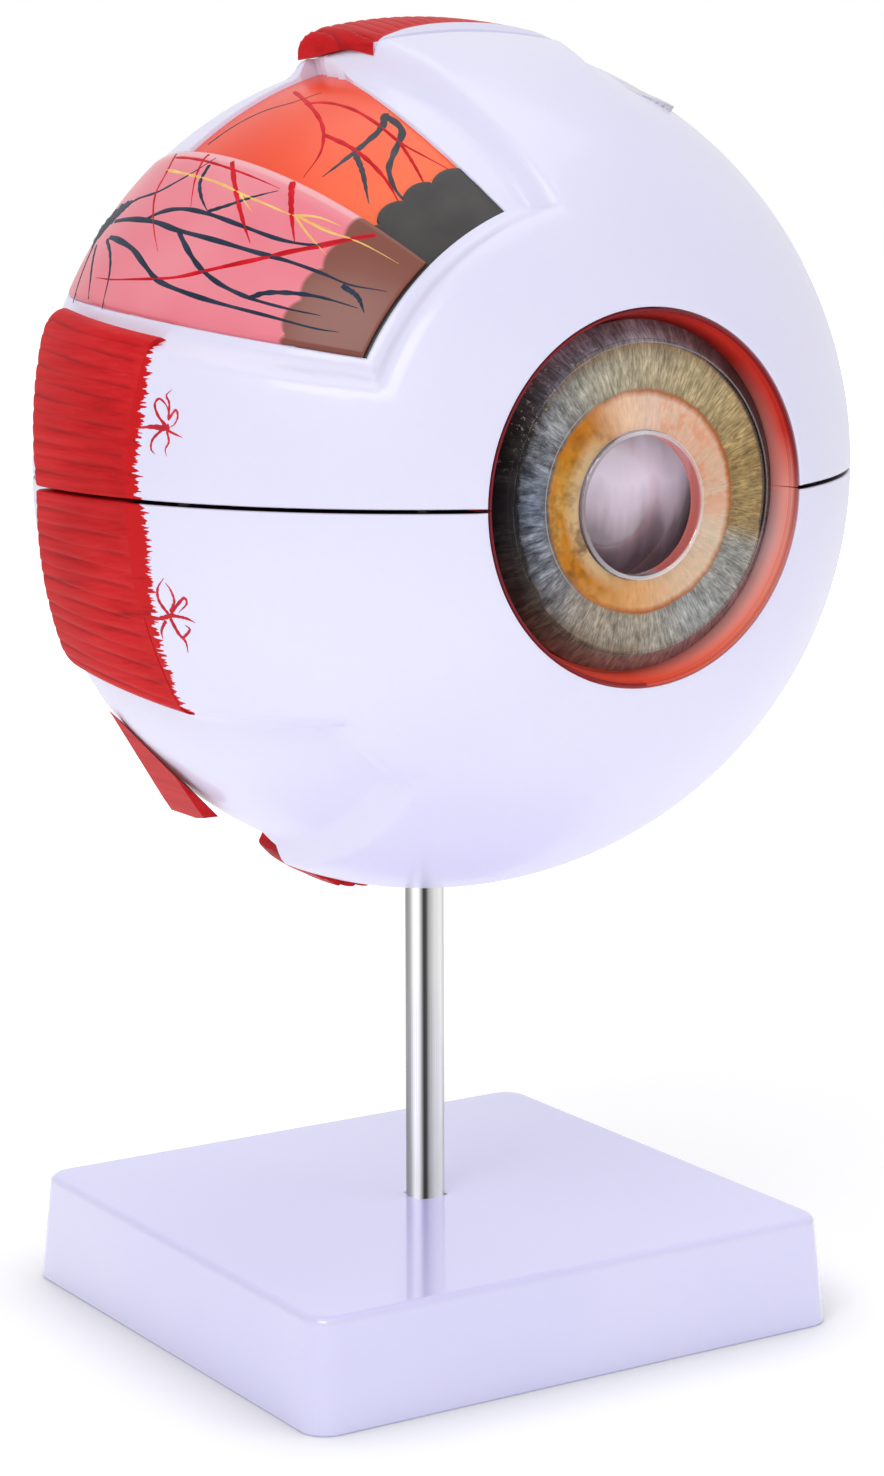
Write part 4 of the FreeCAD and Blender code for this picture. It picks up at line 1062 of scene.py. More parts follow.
def lining_half(up, name, body, replaced):
    def ring(side, share, index):
        radius, depth = np.array([pair[side] for pair in wall])[index.astype(int)].T
        radius = np.maximum(radius, LINING_GAP)
        angle = share * np.arccos(np.minimum(LINING_GAP / radius, 1))
        return np.stack([radius * np.sin(angle), depth, up * radius * np.cos(angle)], axis=1)

    inner = {}

    def rule(share, index):
        inner["points"] = ring(1, share, index)
        return ring(0, share, index)

    shares = np.linspace(-1, 1, LINING_STEPS + 1)
    obj = sheet_piece(shares, np.arange(len(wall)), rule, lambda outer: inner["points"])
    return settle(obj, name, body, lining_paint, replaced, angle=35)


for up, half in ((1, "upper"), (-1, "lower")):
    lining_half(up, "choroid_shell_" + half, "lining_" + half, ("choroid_" + half,))
print("lining made")

# %% [markdown]
# The base is a hollow tapered plinth. Its skin is one sweep of outlines: from the boss below, over the
# inside and the wall's foot, up the outside and over the soft edge to the ring round the pole. Lines just
# beside the soft edge keep the flat top flat in its shading. Two ribs cross under the top.

# %% Plinth
BASE_X, BASE_Y, BASE_HEIGHT, BASE_DRAFT = 54.3, 52.0, 19.8, 1.5
BASE_CORNER, BASE_SOFT = 5.0, 1.3
CORNER_STEPS, SOFT_STEPS = 10, 7
POLE_HOLE, RING_HOLE, STUD_HOLE = 3.55, 3.85, 2.6
POLE_FLOOR, BOSS_FLOOR, BOSS_R = 10.0, 7.0, 8.0
CEILING = BASE_HEIGHT - 3.0
RIB_FLOOR, RIB_WIDTH, RIB_INSET = 4.0, 2.0, 6.5


def outline(inset, corner, height):
    """Round-cornered rectangle at a height, tapered like the plinth."""
    shrink = inset + BASE_DRAFT * height / BASE_HEIGHT
    half_x, half_y = BASE_X - shrink - corner, BASE_Y - shrink - corner
    points = []
    for index, (sx, sy) in enumerate(((1, 1), (-1, 1), (-1, -1), (1, -1))):
        for step_angle in np.linspace(0, 90, CORNER_STEPS):
            turn = math.radians(90 * index + step_angle)
            points.append((sx * half_x + corner * math.cos(turn),
                           sy * half_y + corner * math.sin(turn), height))
    return np.array(points)


def ring_outline(radius, height):
    """Circle with its points in line with those of the rectangle."""
    points = outline(0, BASE_CORNER, height)
    return np.column_stack([points[:, :2] / np.hypot(points[:, 0], points[:, 1])[:, None] * radius,
                            np.full(len(points), height)])


under = [ring_outline(radius, height) for radius, height in
         ((STUD_HOLE, POLE_FLOOR), (STUD_HOLE, BOSS_FLOOR), (BOSS_R, BOSS_FLOOR), (BOSS_R, CEILING))]
sides = [outline(*line) for line in
         ((3.2, 2.4, CEILING), (2.6, 2.4, CEILING), (2.6, 2.4, 0.4), (2.4, 2.6, 0.0), (0.3, 4.7, 0.0),
          (0.0, 5.0, 0.35), (0.0, 5.0, 1.0), (0.0, 5.0, BASE_HEIGHT - BASE_SOFT - 0.4))]
for turn in np.radians(np.linspace(0, 90, SOFT_STEPS)):
    inset = BASE_SOFT * (1 - math.cos(turn))
    sides.append(outline(inset, BASE_CORNER - inset, BASE_HEIGHT - BASE_SOFT * (1 - math.sin(turn))))
sides += [outline(BASE_SOFT + 0.25, 3.5, BASE_HEIGHT), outline(BASE_SOFT + 1.0, 3.0, BASE_HEIGHT)]
over = [ring_outline(radius, height) for radius, height in
        ((5.0, BASE_HEIGHT), (RING_HOLE + 0.25, BASE_HEIGHT), (RING_HOLE, BASE_HEIGHT - 0.2),
         (RING_HOLE, BASE_HEIGHT - 1.2), (POLE_HOLE, BASE_HEIGHT - 1.2), (POLE_HOLE, POLE_FLOOR),
         (STUD_HOLE, POLE_FLOOR))]
skins = np.stack([np.vstack([line, line[:1]]) for line in under + sides + over])


def base_rule(column, row):
    return skins[row.astype(int), column.astype(int)] - EYE_SPOT / MM


def rib(*size):
    select()
    bpy.ops.mesh.primitive_cube_add(size=1, location=(0, 0, (RIB_FLOOR + CEILING + 0.5) / 2 * MM))
    made = bpy.context.object
    made.scale = [value * MM for value in size]
    fix_place()
    return made


base_skin = sheet_piece(np.arange(skins.shape[1]), np.arange(skins.shape[0]), base_rule)
rib_height = CEILING + 0.5 - RIB_FLOOR
ribs = [rib(2 * BASE_X - RIB_INSET, RIB_WIDTH, rib_height),
        rib(RIB_WIDTH, 2 * BASE_Y - RIB_INSET, rib_height)]
select(base_skin, *ribs)
bpy.ops.object.join()
settle(base_skin, "plinth", "stand", base_white, ("stand_base",), angle=35)
print("plinth made")

# %% [markdown]
# Under the window lie three moulded layers. The orange retina fills it all. A dark band with a scalloped
# rear edge runs along the front. A thicker pink layer covers the lower part, and where it lies over the
# band it looks brown.

# %% The window's layers
TURN_START, TURN_END = 20.0, 63.0
LAYER_FRONT, ORANGE_REAR, PINK_REAR = -51.4, 2.4, 15.9
LAYER_FIT = 0.1
ORANGE_BREAK, PINK_FIRST = BREAK_TURN + 0.09, BREAK_TURN + 0.05
BAND_REAR = -45.4
LOBE_PITCH, LOBE_R, LOBE_FIRST = 6.0, 3.9, 23.5
RETINA_TOP, BAND_TOP, PINK_TOP = 70.2, 70.6, 71.4
TURN_LENGTH = 52.5 * math.pi / 180
LAYER_UNDER = 68.25


def ring_at(side, y):
    """Distance of a skin from the line of sight at a depth."""
    polar, reach = skin_profile(side)
    depth = -np.cos(np.radians(polar)) * reach
    return np.interp(y, depth, reach) * np.sin(np.radians(np.interp(y, depth, polar)))


def on_skin(side, turn, y):
    """Point of a skin at a turn in degrees and a depth in mm."""
    across = ring_at(side, y)
    turn = np.radians(turn)
    return np.stack([-across * np.sin(turn), y + 0 * across, across * np.cos(turn)], axis=1)


def turn_limit(normal, reach, side, y):
    """Turn at which a skin meets one of the window's slanting sides, at a depth."""
    flat_size = math.hypot(normal.x, normal.z)
    angle = np.arccos((reach - normal.y * y) / (ring_at(side, y) * flat_size))
    return np.degrees(angle - math.atan2(normal.x, normal.z))


def window_turns(side, y):
    """First and last turn of a layer at a depth."""
    return (turn_limit(WINDOW_TOP, WINDOW_TOP_REACH - LAYER_FIT, side, y),
            turn_limit(WINDOW_BOTTOM, WINDOW_BOTTOM_REACH + LAYER_FIT, side, y))


def lobes(turn):
    """Depth of the band's rear edge at a turn."""
    nearest = np.round((turn - LOBE_FIRST) / LOBE_PITCH) * LOBE_PITCH + LOBE_FIRST
    across = (turn - nearest) * TURN_LENGTH * (1 + 0.06 * np.sin(nearest * 2.1))
    return BAND_REAR + np.sqrt(np.maximum(LOBE_R ** 2 - across ** 2, 0)) * (1 + 0.1 * np.sin(nearest * 1.3))


orange, shader = surface("retina_orange", Roughness=0.3, Specular_IOR_Level=0.25, Coat_Weight=0.2,
                         Coat_Roughness=0.2)
depth = ranged(parts(place())["Y"], LAYER_FRONT * MM, ORANGE_REAR * MM)
shift = plus(times(depth, 0.6), times(noise(place(), 30.0), 0.6))
wire(shader, Base_Color=ramp(shift, [(0.35, (1.0, 0.16, 0.050)), (0.6, (1.0, 0.105, 0.026)),
                                     (0.8, (0.92, 0.062, 0.014)), (1.0, (0.86, 0.048, 0.012))]))

shares = np.unique(np.concatenate([np.linspace(0, 0.5, 36), np.linspace(0.5, 1, 36)]))
depths = np.unique(np.concatenate([np.linspace(LAYER_FRONT, PINK_REAR, 80), [ORANGE_REAR]]))


def retina_rule(share, y):
    first, last = window_turns(RETINA_TOP, y)
    upper = first + (ORANGE_BREAK - first) * 2 * share
    lower = ORANGE_BREAK + (last - ORANGE_BREAK) * (2 * share - 1)
    return on_skin(RETINA_TOP, np.where(share < 0.5, upper, lower), y)


retina = sheet_piece(shares, depths, retina_rule)
middle = centres(retina)
drop_faces(retina, (turn_of(middle) < ORANGE_BREAK) & (middle[:, 1] > ORANGE_REAR))
thicken(retina, inward(LAYER_UNDER))
settle(retina, "retina_window", "eye_upper", orange, ("retina_panel",), angle=40)

black, shader = surface("ora_black", Roughness=0.35, Specular_IOR_Level=0.3, Coat_Weight=0.1,
                        Coat_Roughness=0.2)
wire(shader, Base_Color=ramp(noise(place(), 120.0), [(0.35, (0.028, 0.025, 0.025)),
                                                     (0.7, (0.055, 0.050, 0.048))]))


def band_rule(turn, share):
    y = LAYER_FRONT + share * (lobes(turn) - LAYER_FRONT)
    edge = rounding((1 - share) * 8, 0.35)
    points = on_skin(BAND_TOP, np.clip(turn, *window_turns(BAND_TOP, y)), y)
    return points * (1 - edge / BAND_TOP)[:, None]


band_shares = np.append(np.linspace(0, 0.94, 14), [0.97, 0.985, 1.0])
band = sheet_piece(np.linspace(TURN_START, TURN_END, 240), band_shares, band_rule, inward(RETINA_TOP + 0.02))
settle(band, "ora_serrata", "eye_upper", black, ("ora_serrata_band",), angle=40)
print("retina and band made")

# %% The pink layer
PINK = (0.860, 0.215, 0.275)
PINK_LIGHT = (0.93, 0.46, 0.49)
PINK_DEEP = (0.800, 0.185, 0.240)
BROWN, BROWN_LIGHT = (0.195, 0.050, 0.034), (0.27, 0.085, 0.055)

pink, shader = surface("choroid_pink", Roughness=0.3, Specular_IOR_Level=0.25, Coat_Weight=0.25,
                       Coat_Roughness=0.22)
cloud = noise(place(), 28.0)
colour = ramp(cloud, [(0.3, PINK_DEEP), (0.5, PINK), (0.75, (0.90, 0.33, 0.38))])
top_edge = levels(noted("from_top"), (0.0, 1), (0.055, 0.8), (0.068, 0.25), (0.13, 0))
colour = mixed(top_edge, colour, PINK_LIGHT)
brown = mixed(noise(place(), 60.0), BROWN, BROWN_LIGHT)
colour = mixed(levels(noted("over_band"), (0.485, 0), (0.515, 1)), colour, brown)
wire(shader, Base_Color=colour)


def pink_rule(share, y):
    width = window_turns(PINK_TOP, y)[1] - PINK_FIRST
    free = np.minimum.reduce([share * width * TURN_LENGTH, (1 - share) * width * TURN_LENGTH,
                              PINK_REAR - y, (y - LAYER_FRONT) + 0.5])
    points = on_skin(PINK_TOP, PINK_FIRST + share * width, y)
    return points * (1 - rounding(free, 0.8) / PINK_TOP)[:, None]


pink_shares = spread(0, 1, 0.015, (0.0, 0.006, 0.018, 0.036))
pink_sheet = sheet_piece(pink_shares, spread(LAYER_FRONT, PINK_REAR, 0.45), pink_rule,
                         inward(BAND_TOP + 0.05))
settle(pink_sheet, "choroid_window", "eye_upper", pink, ("choroid_panel",), angle=40)
points = read(pink_sheet)
turn = turn_of(points)
note(pink_sheet, "from_top", (turn - BREAK_TURN) / 23.0)
note(pink_sheet, "over_band", 0.5 + (lobes(turn) + 1.2 - points[:, 1]) * 0.05)
print("pink layer made")

# %% [markdown]
# The painted vessels are thin ribbons that follow the layers: their points are the bends of each branch
# as polar angle and turn, with the branch's width in millimetres.

# %% Vessel ribbons


def curve_through(points, per_bend=8):
    """Smooth line through the bends."""
    points = np.array(points, dtype=float)
    padded = np.vstack([2 * points[0] - points[1], points, 2 * points[-1] - points[-2]])
    line = []
    for k in range(1, len(padded) - 2):
        before, start, end, after = padded[k - 1:k + 3]
        square = 2 * before - 5 * start + 4 * end - after
        cube = 3 * start - before - 3 * end + after
        for t in np.linspace(0, 1, per_bend, endpoint=False):
            line.append(0.5 * (2 * start + (end - before) * t + square * t ** 2 + cube * t ** 3))
    return np.array(line + [points[-1]])


def ribbon(side, width, points, half):
    """One branch: widest near its first bend and thin at its last. `half` is half the width's full value."""
    line = curve_through(points)
    polar, turn = np.radians(line).T
    ways = np.stack([-np.sin(polar) * np.sin(turn), -np.cos(polar), np.sin(polar) * np.cos(turn)], axis=1)
    across = np.cross(ways, np.gradient(ways, axis=0))
    across /= np.linalg.norm(across, axis=1)[:, None]
    share = np.linspace(0, 1, len(line))
    halves = half * width * np.interp(share, (0, 0.05, 0.6, 1), (0.75, 1, 0.75, 0.12))
    halves = halves * (1 + 0.15 * np.sin(share * 40 + width * 9))

    def rule(index, edge):
        index = index.astype(int)
        reach = skin(side, ways[index]) + 0.10 * (1 - edge ** 2) - 0.03
        return ways[index] * reach[:, None] + across[index] * (edge * halves[index])[:, None]

    return sheet_piece(np.arange(len(line)), (-1, -0.5, 0, 0.5, 1), rule)


def painted(name, colour):
    material, shader = surface(name, Roughness=0.4, Specular_IOR_Level=0.12)
    light = tuple(min(channel * 1.5 + 0.01, 1.0) for channel in colour)
    wire(shader, Base_Color=ramp(noise(place(), 200.0), [(0.4, colour), (0.75, light)]))
    return material


navy = painted("vein_navy", (0.014, 0.026, 0.052))
slate = painted("vein_slate", (0.050, 0.052, 0.065))
artery = painted("artery_red", (0.55, 0.002, 0.012))
golden = painted("nerve_golden", (0.88, 0.50, 0.15))


def vessels(name, material, side, branches, body="eye_upper", half=0.66):
    select(*[ribbon(side, width, points, half) for width, points in branches])
    bpy.ops.object.join()
    return settle(bpy.context.object, name, body, material, angle=60)


vessels("vein_tree", navy, PINK_TOP, [
    (1.0, [(96.5, 52.3), (89.9, 52.1), (84.2, 52.2), (78.8, 52.7), (71.4, 52.6), (65.0, 52.3), (59.1, 51.6),
           (54.0, 51.1), (49.9, 50.7), (45.4, 48.6)]),
    (4.6, [(97.4, 51.0), (99.4, 52.2), (100.6, 54.4), (100.4, 56.4)]),
    (4.6, [(100.2, 54.6), (98.6, 52.2), (96.6, 50.2), (94.6, 49.0)]),
    (0.7, [(100.2, 56.2), (99.0, 59.2), (97.8, 62.2), (96.6, 65.0)]),
    (0.9, [(78.7, 52.8), (75.0, 55.1), (71.2, 57.1), (66.6, 58.5), (61.2, 59.0), (55.6, 58.5), (51.4, 57.6)]),
    (1.0, [(94.6, 55.0), (91.6, 55.4), (86.2, 56.6), (81.5, 58.6), (77.4, 60.3), (71.5, 61.0), (64.9, 61.1),
           (57.4, 60.6), (51.7, 60.0), (48.1, 59.0)]),
    (0.9, [(61.7, 59.0), (59.9, 57.5), (56.7, 56.1), (52.6, 54.8), (47.5, 53.8)]),
    (0.9, [(50.9, 51.5), (48.3, 52.0), (46.4, 54.0)]),
    (0.7, [(96.6, 50.3), (94.1, 48.8), (89.4, 47.5), (86.3, 45.2), (84.3, 43.0), (82.7, 40.4)]),
    (0.9, [(87.6, 52.2), (84.5, 50.4), (80.4, 49.4), (75.3, 49.2), (69.3, 49.3), (62.8, 49.1), (58.3, 47.9),
           (55.6, 45.9), (51.6, 41.2)]),
    (0.8, [(82.7, 41.8), (81.5, 44.8), (78.9, 47.1), (75.9, 48.9)]),
    (0.8, [(75.9, 48.9), (73.4, 47.1), (70.7, 44.7), (67.8, 42.2)]),
    (0.7, [(98.6, 56.0), (96.0, 58.9), (93.6, 61.6), (91.6, 64.4)]),
    (0.7, [(95.2, 55.3), (91.4, 57.6), (88.6, 60.8), (86.8, 65.6)]),
])
vessels("vein_tree_slate", slate, RETINA_TOP, [
    (1.3, [(68.6, 20.7), (66.1, 23.7), (65.0, 28.2), (64.7, 32.8), (64.9, 36.4)]),
    (1.2, [(68.0, 21.0), (63.6, 21.9), (60.8, 25.9), (58.6, 29.3), (54.9, 31.7), (51.2, 32.3)]),
    (1.0, [(64.6, 30.1), (60.8, 32.4), (56.2, 36.4)]),
    (0.5, [(90.0, 37.2), (89.0, 33.0), (87.0, 28.9), (83.7, 25.6), (82.0, 22.0)]),
])
vessels("artery_tree", artery, PINK_TOP, [
    (0.95, [(51.6, 41.0), (56.5, 46.9), (60.0, 50.2), (64.2, 53.6), (70.5, 57.4), (76.1, 59.7), (85.8, 61.2),
            (92.0, 61.3)]),
    (0.6, [(92.6, 41.0), (85.4, 41.2), (79.0, 41.5), (72.8, 41.7), (67.9, 41.8)]),
    (0.6, [(93.7, 40.2), (91.2, 44.0), (89.3, 47.9), (85.0, 52.3), (80.4, 56.3)]),
    (0.6, [(84.9, 40.0), (84.9, 41.2), (83.0, 44.5), (79.5, 48.9)]),
    (0.9, [(79.0, 40.4), (73.4, 45.1), (69.1, 48.7), (66.0, 51.3)]),
    (1.1, [(67.1, 40.0), (64.3, 43.6), (60.1, 48.6)]),
])
vessels("artery_tree_inner", artery, RETINA_TOP, [
    (0.8, [(87.6, 22.9), (79.9, 25.5), (74.6, 27.7), (71.1, 30.1), (68.5, 33.4), (67.2, 38.0)]),
    (0.8, [(81.1, 25.4), (78.4, 23.9), (73.6, 23.1), (67.9, 23.3), (61.9, 23.9), (57.5, 23.2), (51.4, 21.4)]),
    (0.9, [(71.4, 29.8), (66.1, 29.6), (61.9, 30.0), (57.0, 31.3), (52.0, 33.8)]),
    (0.6, [(61.9, 23.9), (56.6, 25.9), (51.8, 28.1)]),
])
vessels("nerve_fibres", golden, PINK_TOP, [
    (0.55, [(92.0, 43.4), (86.3, 43.9), (78.7, 44.2), (71.8, 44.8), (67.0, 44.9), (63.1, 44.8),
            (56.8, 44.1)]),
    (0.45, [(63.1, 44.8), (60.0, 43.3), (56.2, 42.7)]),
    (0.45, [(62.6, 44.8), (59.4, 46.4), (55.2, 48.1)]),
    (0.45, [(62.2, 44.6), (57.5, 44.6), (52.5, 43.5), (46.5, 43.0)]),
    (0.35, [(72.9, 44.9), (68.8, 46.9)]),
])
capillary = painted("capillary_red", (0.52, 0.020, 0.035))
vessels("capillaries_upper", capillary, BALL, [
    (1.24, [(65.6, 79.6), (66.3, 79.9), (68.3, 80.0), (70.9, 80.5)]),
    (0.62, [(66.0, 79.7), (67.6, 78.4), (68.4, 77.0), (67.8, 76.2), (66.5, 77.0), (66.0, 78.2)]),
    (0.54, [(65.9, 78.8), (66.2, 76.6), (66.9, 75.6), (66.2, 74.7)]),
    (0.54, [(65.9, 78.8), (65.1, 77.3), (64.6, 78.1), (64.9, 79.2), (65.7, 79.8)]),
    (0.54, [(66.0, 80.1), (64.6, 80.5), (63.4, 80.8)]),
    (0.54, [(65.9, 80.2), (65.4, 81.6), (65.8, 82.7), (65.5, 83.6)]),
    (0.62, [(66.6, 80.1), (67.9, 81.6), (68.0, 82.9), (67.3, 83.5)]),
], half=0.5)
vessels("capillaries_lower", capillary, BALL, [
    (1.1, [(66.4, 105.2), (67.4, 105.5), (69.0, 105.8), (70.9, 106.0)]),
    (0.78, [(67.3, 105.2), (68.3, 103.3), (68.1, 101.6), (66.8, 100.1)]),
    (0.70, [(66.9, 104.9), (65.9, 103.4), (66.1, 101.8), (66.7, 100.8)]),
    (0.70, [(66.7, 104.9), (64.4, 103.0), (64.1, 103.8), (65.6, 105.0)]),
    (0.70, [(66.6, 105.4), (64.7, 105.9), (63.5, 106.6)]),
    (0.85, [(67.2, 105.8), (66.6, 108.0), (65.9, 109.3), (66.1, 110.9)]),
    (0.62, [(66.2, 108.8), (64.7, 107.6), (65.2, 106.8)]),
    (0.70, [(68.0, 106.1), (69.2, 107.5), (69.4, 108.8)]),
], "eye_lower", half=0.5)
print("vessels painted")

# %% [markdown]
# The iris, its clear cap and the lens are turned pieces, but the pupil sits a little low. So their rings
# start round the pupil and slide to the eye's axis on the way out. Each piece is one closed profile,
# swept once round as a sheet whose first and last columns meet. The face of the iris is flat, and its
# dark outer belt slopes back to the ledge.

# %% Turned pieces
PUPIL_DROP = 1.2
FACE_EDGE, IRIS_EDGE = 25.6, 28.6
FACE_FALL = ((0.0, 25.3, 25.9, 28.3, 28.6), (0.0, 0.0, 0.3, 2.55, 2.9))
IRIS_FRONT, IRIS_BACK = -66.05, RIM_Y + 6.85
IRIS_BORE, IRIS_FOOT, IRIS_WALL = 12.25, 1.2, 0.8
DROP_START = 12.2
TURN_STEPS = 192


def face(front):
    """Depth of a flat face whose edge slopes back, from the distance to the eye's axis."""
    return lambda away: front + np.interp(away, *FACE_FALL)


def flat(depth):
    return lambda away: depth + 0 * away


def turned(profile):
    """Sweep of (radius, share of the pupil's drop, depth rule) rings."""
    def rule(angle, index):
        out = np.zeros((len(angle), 3))
        for k, (radius, drop, depth) in enumerate(profile):
            here = index == k
            x = radius * np.sin(angle[here])
            z = radius * np.cos(angle[here]) - PUPIL_DROP * drop
            out[here] = np.stack([x, depth(np.hypot(x, z)), z], axis=1)
        return out
    return sheet_piece(np.linspace(0, 2 * math.pi, TURN_STEPS + 1), np.arange(len(profile)), rule)


def between(first, last, count, depth):
    """Rings from the pupil's ring out to the edge of the face, or back, on one surface."""
    radii = np.linspace(first, last, count)
    return [(r, min((FACE_EDGE - r) / (FACE_EDGE - DROP_START), 1.0), depth) for r in radii]


iris_profile = between(IRIS_BORE, FACE_EDGE, 40, face(IRIS_FRONT))
iris_profile += [(r, 0.0, face(IRIS_FRONT)) for r in np.linspace(FACE_EDGE + 0.1, IRIS_EDGE, 14)]
iris_profile += [(IRIS_EDGE, 0.0, flat(IRIS_BACK)), (IRIS_EDGE - IRIS_FOOT, 0.0, flat(IRIS_BACK)),
                 (IRIS_EDGE - IRIS_FOOT, 0.0, face(IRIS_FRONT + IRIS_WALL))]
iris_profile += between(FACE_EDGE - 0.1, IRIS_BORE, 6, face(IRIS_FRONT + IRIS_WALL)) + [iris_profile[0]]
iris = turned(iris_profile)
print("iris rings:", len(iris_profile))

# %% [markdown]
# The iris print has three belts: a dark outer belt, a belt of radial fibres, and a creamy belt with
# golden patches round the pupil. Their colours drift with the direction round the pupil, so each belt
# has its own ramp over one full turn from straight down, over the temple side, the top and the nose side.
# The outer belt's ramp also holds a painted pale haze above the temple side and painted shade from the top
# round to the nose side; painted glints lie above the temple side, and the fibre belt has painted shade on
# the temple side.

# %% Iris print


def srgb(*channels):
    """Linear colour from a usual 0-255 one."""
    return tuple(((c / 255 + 0.055) / 1.055) ** 2.4 if c > 10 else c / 3294.6 for c in channels)


def belt_stops(*rows):
    """Colour stops round the pupil from (turn, red, green, blue) rows."""
    return [(turn, srgb(*colour)) for turn, *colour in rows]


# Painted light in this ramp: a pale haze above the temple side (0.41 to 0.5), and deep painted shade from the
# top round to the nose side (0.62 to 0.78).
OUTER_BELT_PRINT_AND_LIGHT = belt_stops((0.0, 118, 98, 92), (0.09, 104, 84, 70), (0.17, 64, 54, 50), (0.26, 26, 27, 34),
                        (0.34, 48, 42, 40), (0.41, 126, 120, 132), (0.5, 150, 140, 150),
                        (0.57, 96, 72, 74), (0.62, 34, 14, 14), (0.78, 24, 8, 10), (0.81, 112, 88, 90),
                        (0.92, 130, 104, 104), (1.0, 118, 98, 92))
FIBRE_BELT = belt_stops((0.0, 164, 154, 138), (0.09, 168, 156, 140), (0.17, 150, 152, 160),
                        (0.26, 122, 132, 150), (0.35, 150, 152, 158), (0.43, 172, 166, 148),
                        (0.5, 180, 166, 138), (0.6, 184, 164, 124), (0.7, 170, 142, 92),
                        (0.785, 158, 134, 92), (0.81, 160, 158, 150), (0.92, 160, 162, 160),
                        (1.0, 164, 154, 138))
CREAM_BELT = belt_stops((0.0, 226, 170, 116), (0.08, 210, 150, 84), (0.16, 198, 130, 38),
                        (0.26, 214, 168, 90), (0.33, 204, 146, 50), (0.4, 204, 134, 66),
                        (0.46, 236, 196, 164), (0.52, 236, 202, 180), (0.62, 232, 188, 160),
                        (0.7, 222, 184, 156), (0.8, 222, 200, 176), (0.92, 224, 192, 160),
                        (1.0, 226, 170, 116))

printed, shader = surface("iris_print", Roughness=0.5, Specular_IOR_Level=0.1)
spot = parts(place())
ring = noted("ring")
right, up = spot["X"], minus(spot["Z"], EYE.z - PUPIL_DROP * MM)
turn = full_turn(right, up)
flat_place = node("CombineXYZ", {"X": right, "Y": up})
direction = node("VectorMath", {0: flat_place.outputs["Vector"]}, operation="NORMALIZE").outputs["Vector"]


def fibre_noise(along, across, detail=3.0, roughness=0.65):
    """Noise drawn out along the radius: `across` cells per radian, `along` cells per mm of radius."""
    scaled = node("VectorMath", {0: direction, "Scale": across}, operation="SCALE").outputs["Vector"]
    flat_parts = parts(scaled)
    drawn = node("CombineXYZ", {"X": flat_parts["X"], "Y": flat_parts["Y"], "Z": times(ring, along)})
    return noise(drawn.outputs["Vector"], 1.0, detail, roughness)


def side_mask(*stops):
    """Strength round the pupil from (turn, strength) stops."""
    return levels(turn, *stops)


def wobbling(along, across, detail, reach):
    """Noise along the fibres, in mm to both sides."""
    return times(minus(fibre_noise(along, across, detail), 0.5), reach)


wobble = plus(wobbling(0.2, 7.0, 1.0, 0.9), wobbling(0.2, 40.0, 2.0, 0.55))
edge_wobble = plus(ring, wobble)
fine = fibre_noise(0.55, 85.0, 4.0, 0.7)
middling = fibre_noise(0.30, 26.0, 3.0)
patches = fibre_noise(0.35, 5.5, 4.0, 0.6)
clouds = fibre_noise(0.25, 2.2, 3.0)
streaks = fibre_noise(0.22, 15.0, 5.0, 0.7)
specks = noise(place(), 1500.0, 3.0, 0.7)


def belt(stops, contrast, patchiness):
    """A belt's colour with its fibres and its broader patches."""
    shade = times(*[ranged(value, 0.3, 0.7, 1 - reach, 1 + reach) for value, reach in
                    ((fine, contrast), (middling, 0.6 * contrast), (patches, patchiness))])
    grey = node("CombineXYZ", {"X": shade, "Y": shade, "Z": shade}).outputs["Vector"]
    return mixed(1.0, ramp(turn, stops), grey, "MULTIPLY")


def tinted(base, colour, *strengths):
    """A colour laid over another one, as strong as the product of some strengths."""
    return mixed(times(*strengths), base, srgb(*colour))


# %% The cream belt
temple = side_mask((0.02, 0), (0.12, 1), (0.38, 1), (0.43, 0))
cream = belt(CREAM_BELT, 0.12, 0.10)
cream = tinted(cream, (196, 118, 14), temple, ranged(clouds, 0.40, 0.60), ranged(ring, 13.4, 15.6))
cream = tinted(cream, (216, 190, 152), temple, ranged(ring, 15.4, 13.2), 0.75)
cream = tinted(cream, (96, 60, 26), side_mask((0.04, 0), (0.14, 1), (0.22, 0.9), (0.42, 0.5), (0.45, 0)),
               ranged(patches, 0.46, 0.66), 0.75)
cream = tinted(cream, (222, 150, 116),
               side_mask((0.5, 0), (0.56, 1), (0.74, 1), (0.8, 0.2), (0.98, 0.3), (1.0, 0)),
               ranged(patches, 0.46, 0.6), 0.7)

# %% The fibre belt
fibre = belt(FIBRE_BELT, 0.55, 0.24)
streaked = plus(edge_wobble, ranged(streaks, 0.3, 0.7, -1.2, 1.2))
# Painted shade on the temple side, deepening towards the outer belt.
fibre = tinted(fibre, (44, 44, 52), ranged(streaked, 20.6, 24.9),
               side_mask((0.0, 0.15), (0.1, 0.45), (0.18, 0.95), (0.33, 0.95), (0.40, 0.35), (0.5, 0.2),
                         (0.9, 0.1)))
fibre = tinted(fibre, (34, 36, 44), side_mask((0.08, 0.1), (0.16, 1), (0.36, 1), (0.43, 0.1), (0.95, 0.15)),
               ranged(streaks, 0.42, 0.66), 0.85)
fibre = tinted(fibre, (128, 88, 44), ranged(edge_wobble, 23.4, 25.3), 0.7,
               side_mask((0.1, 0.6), (0.2, 0.2), (0.36, 0.7), (0.5, 1.0), (0.7, 0.6), (0.8, 0.1)))
fibre = tinted(fibre, (92, 74, 56), ranged(edge_wobble, 19.6, 18.1),
               side_mask((0.1, 0.2), (0.2, 0.7), (0.34, 0.6), (0.45, 0.15), (0.7, 0.35), (0.85, 0.1)))

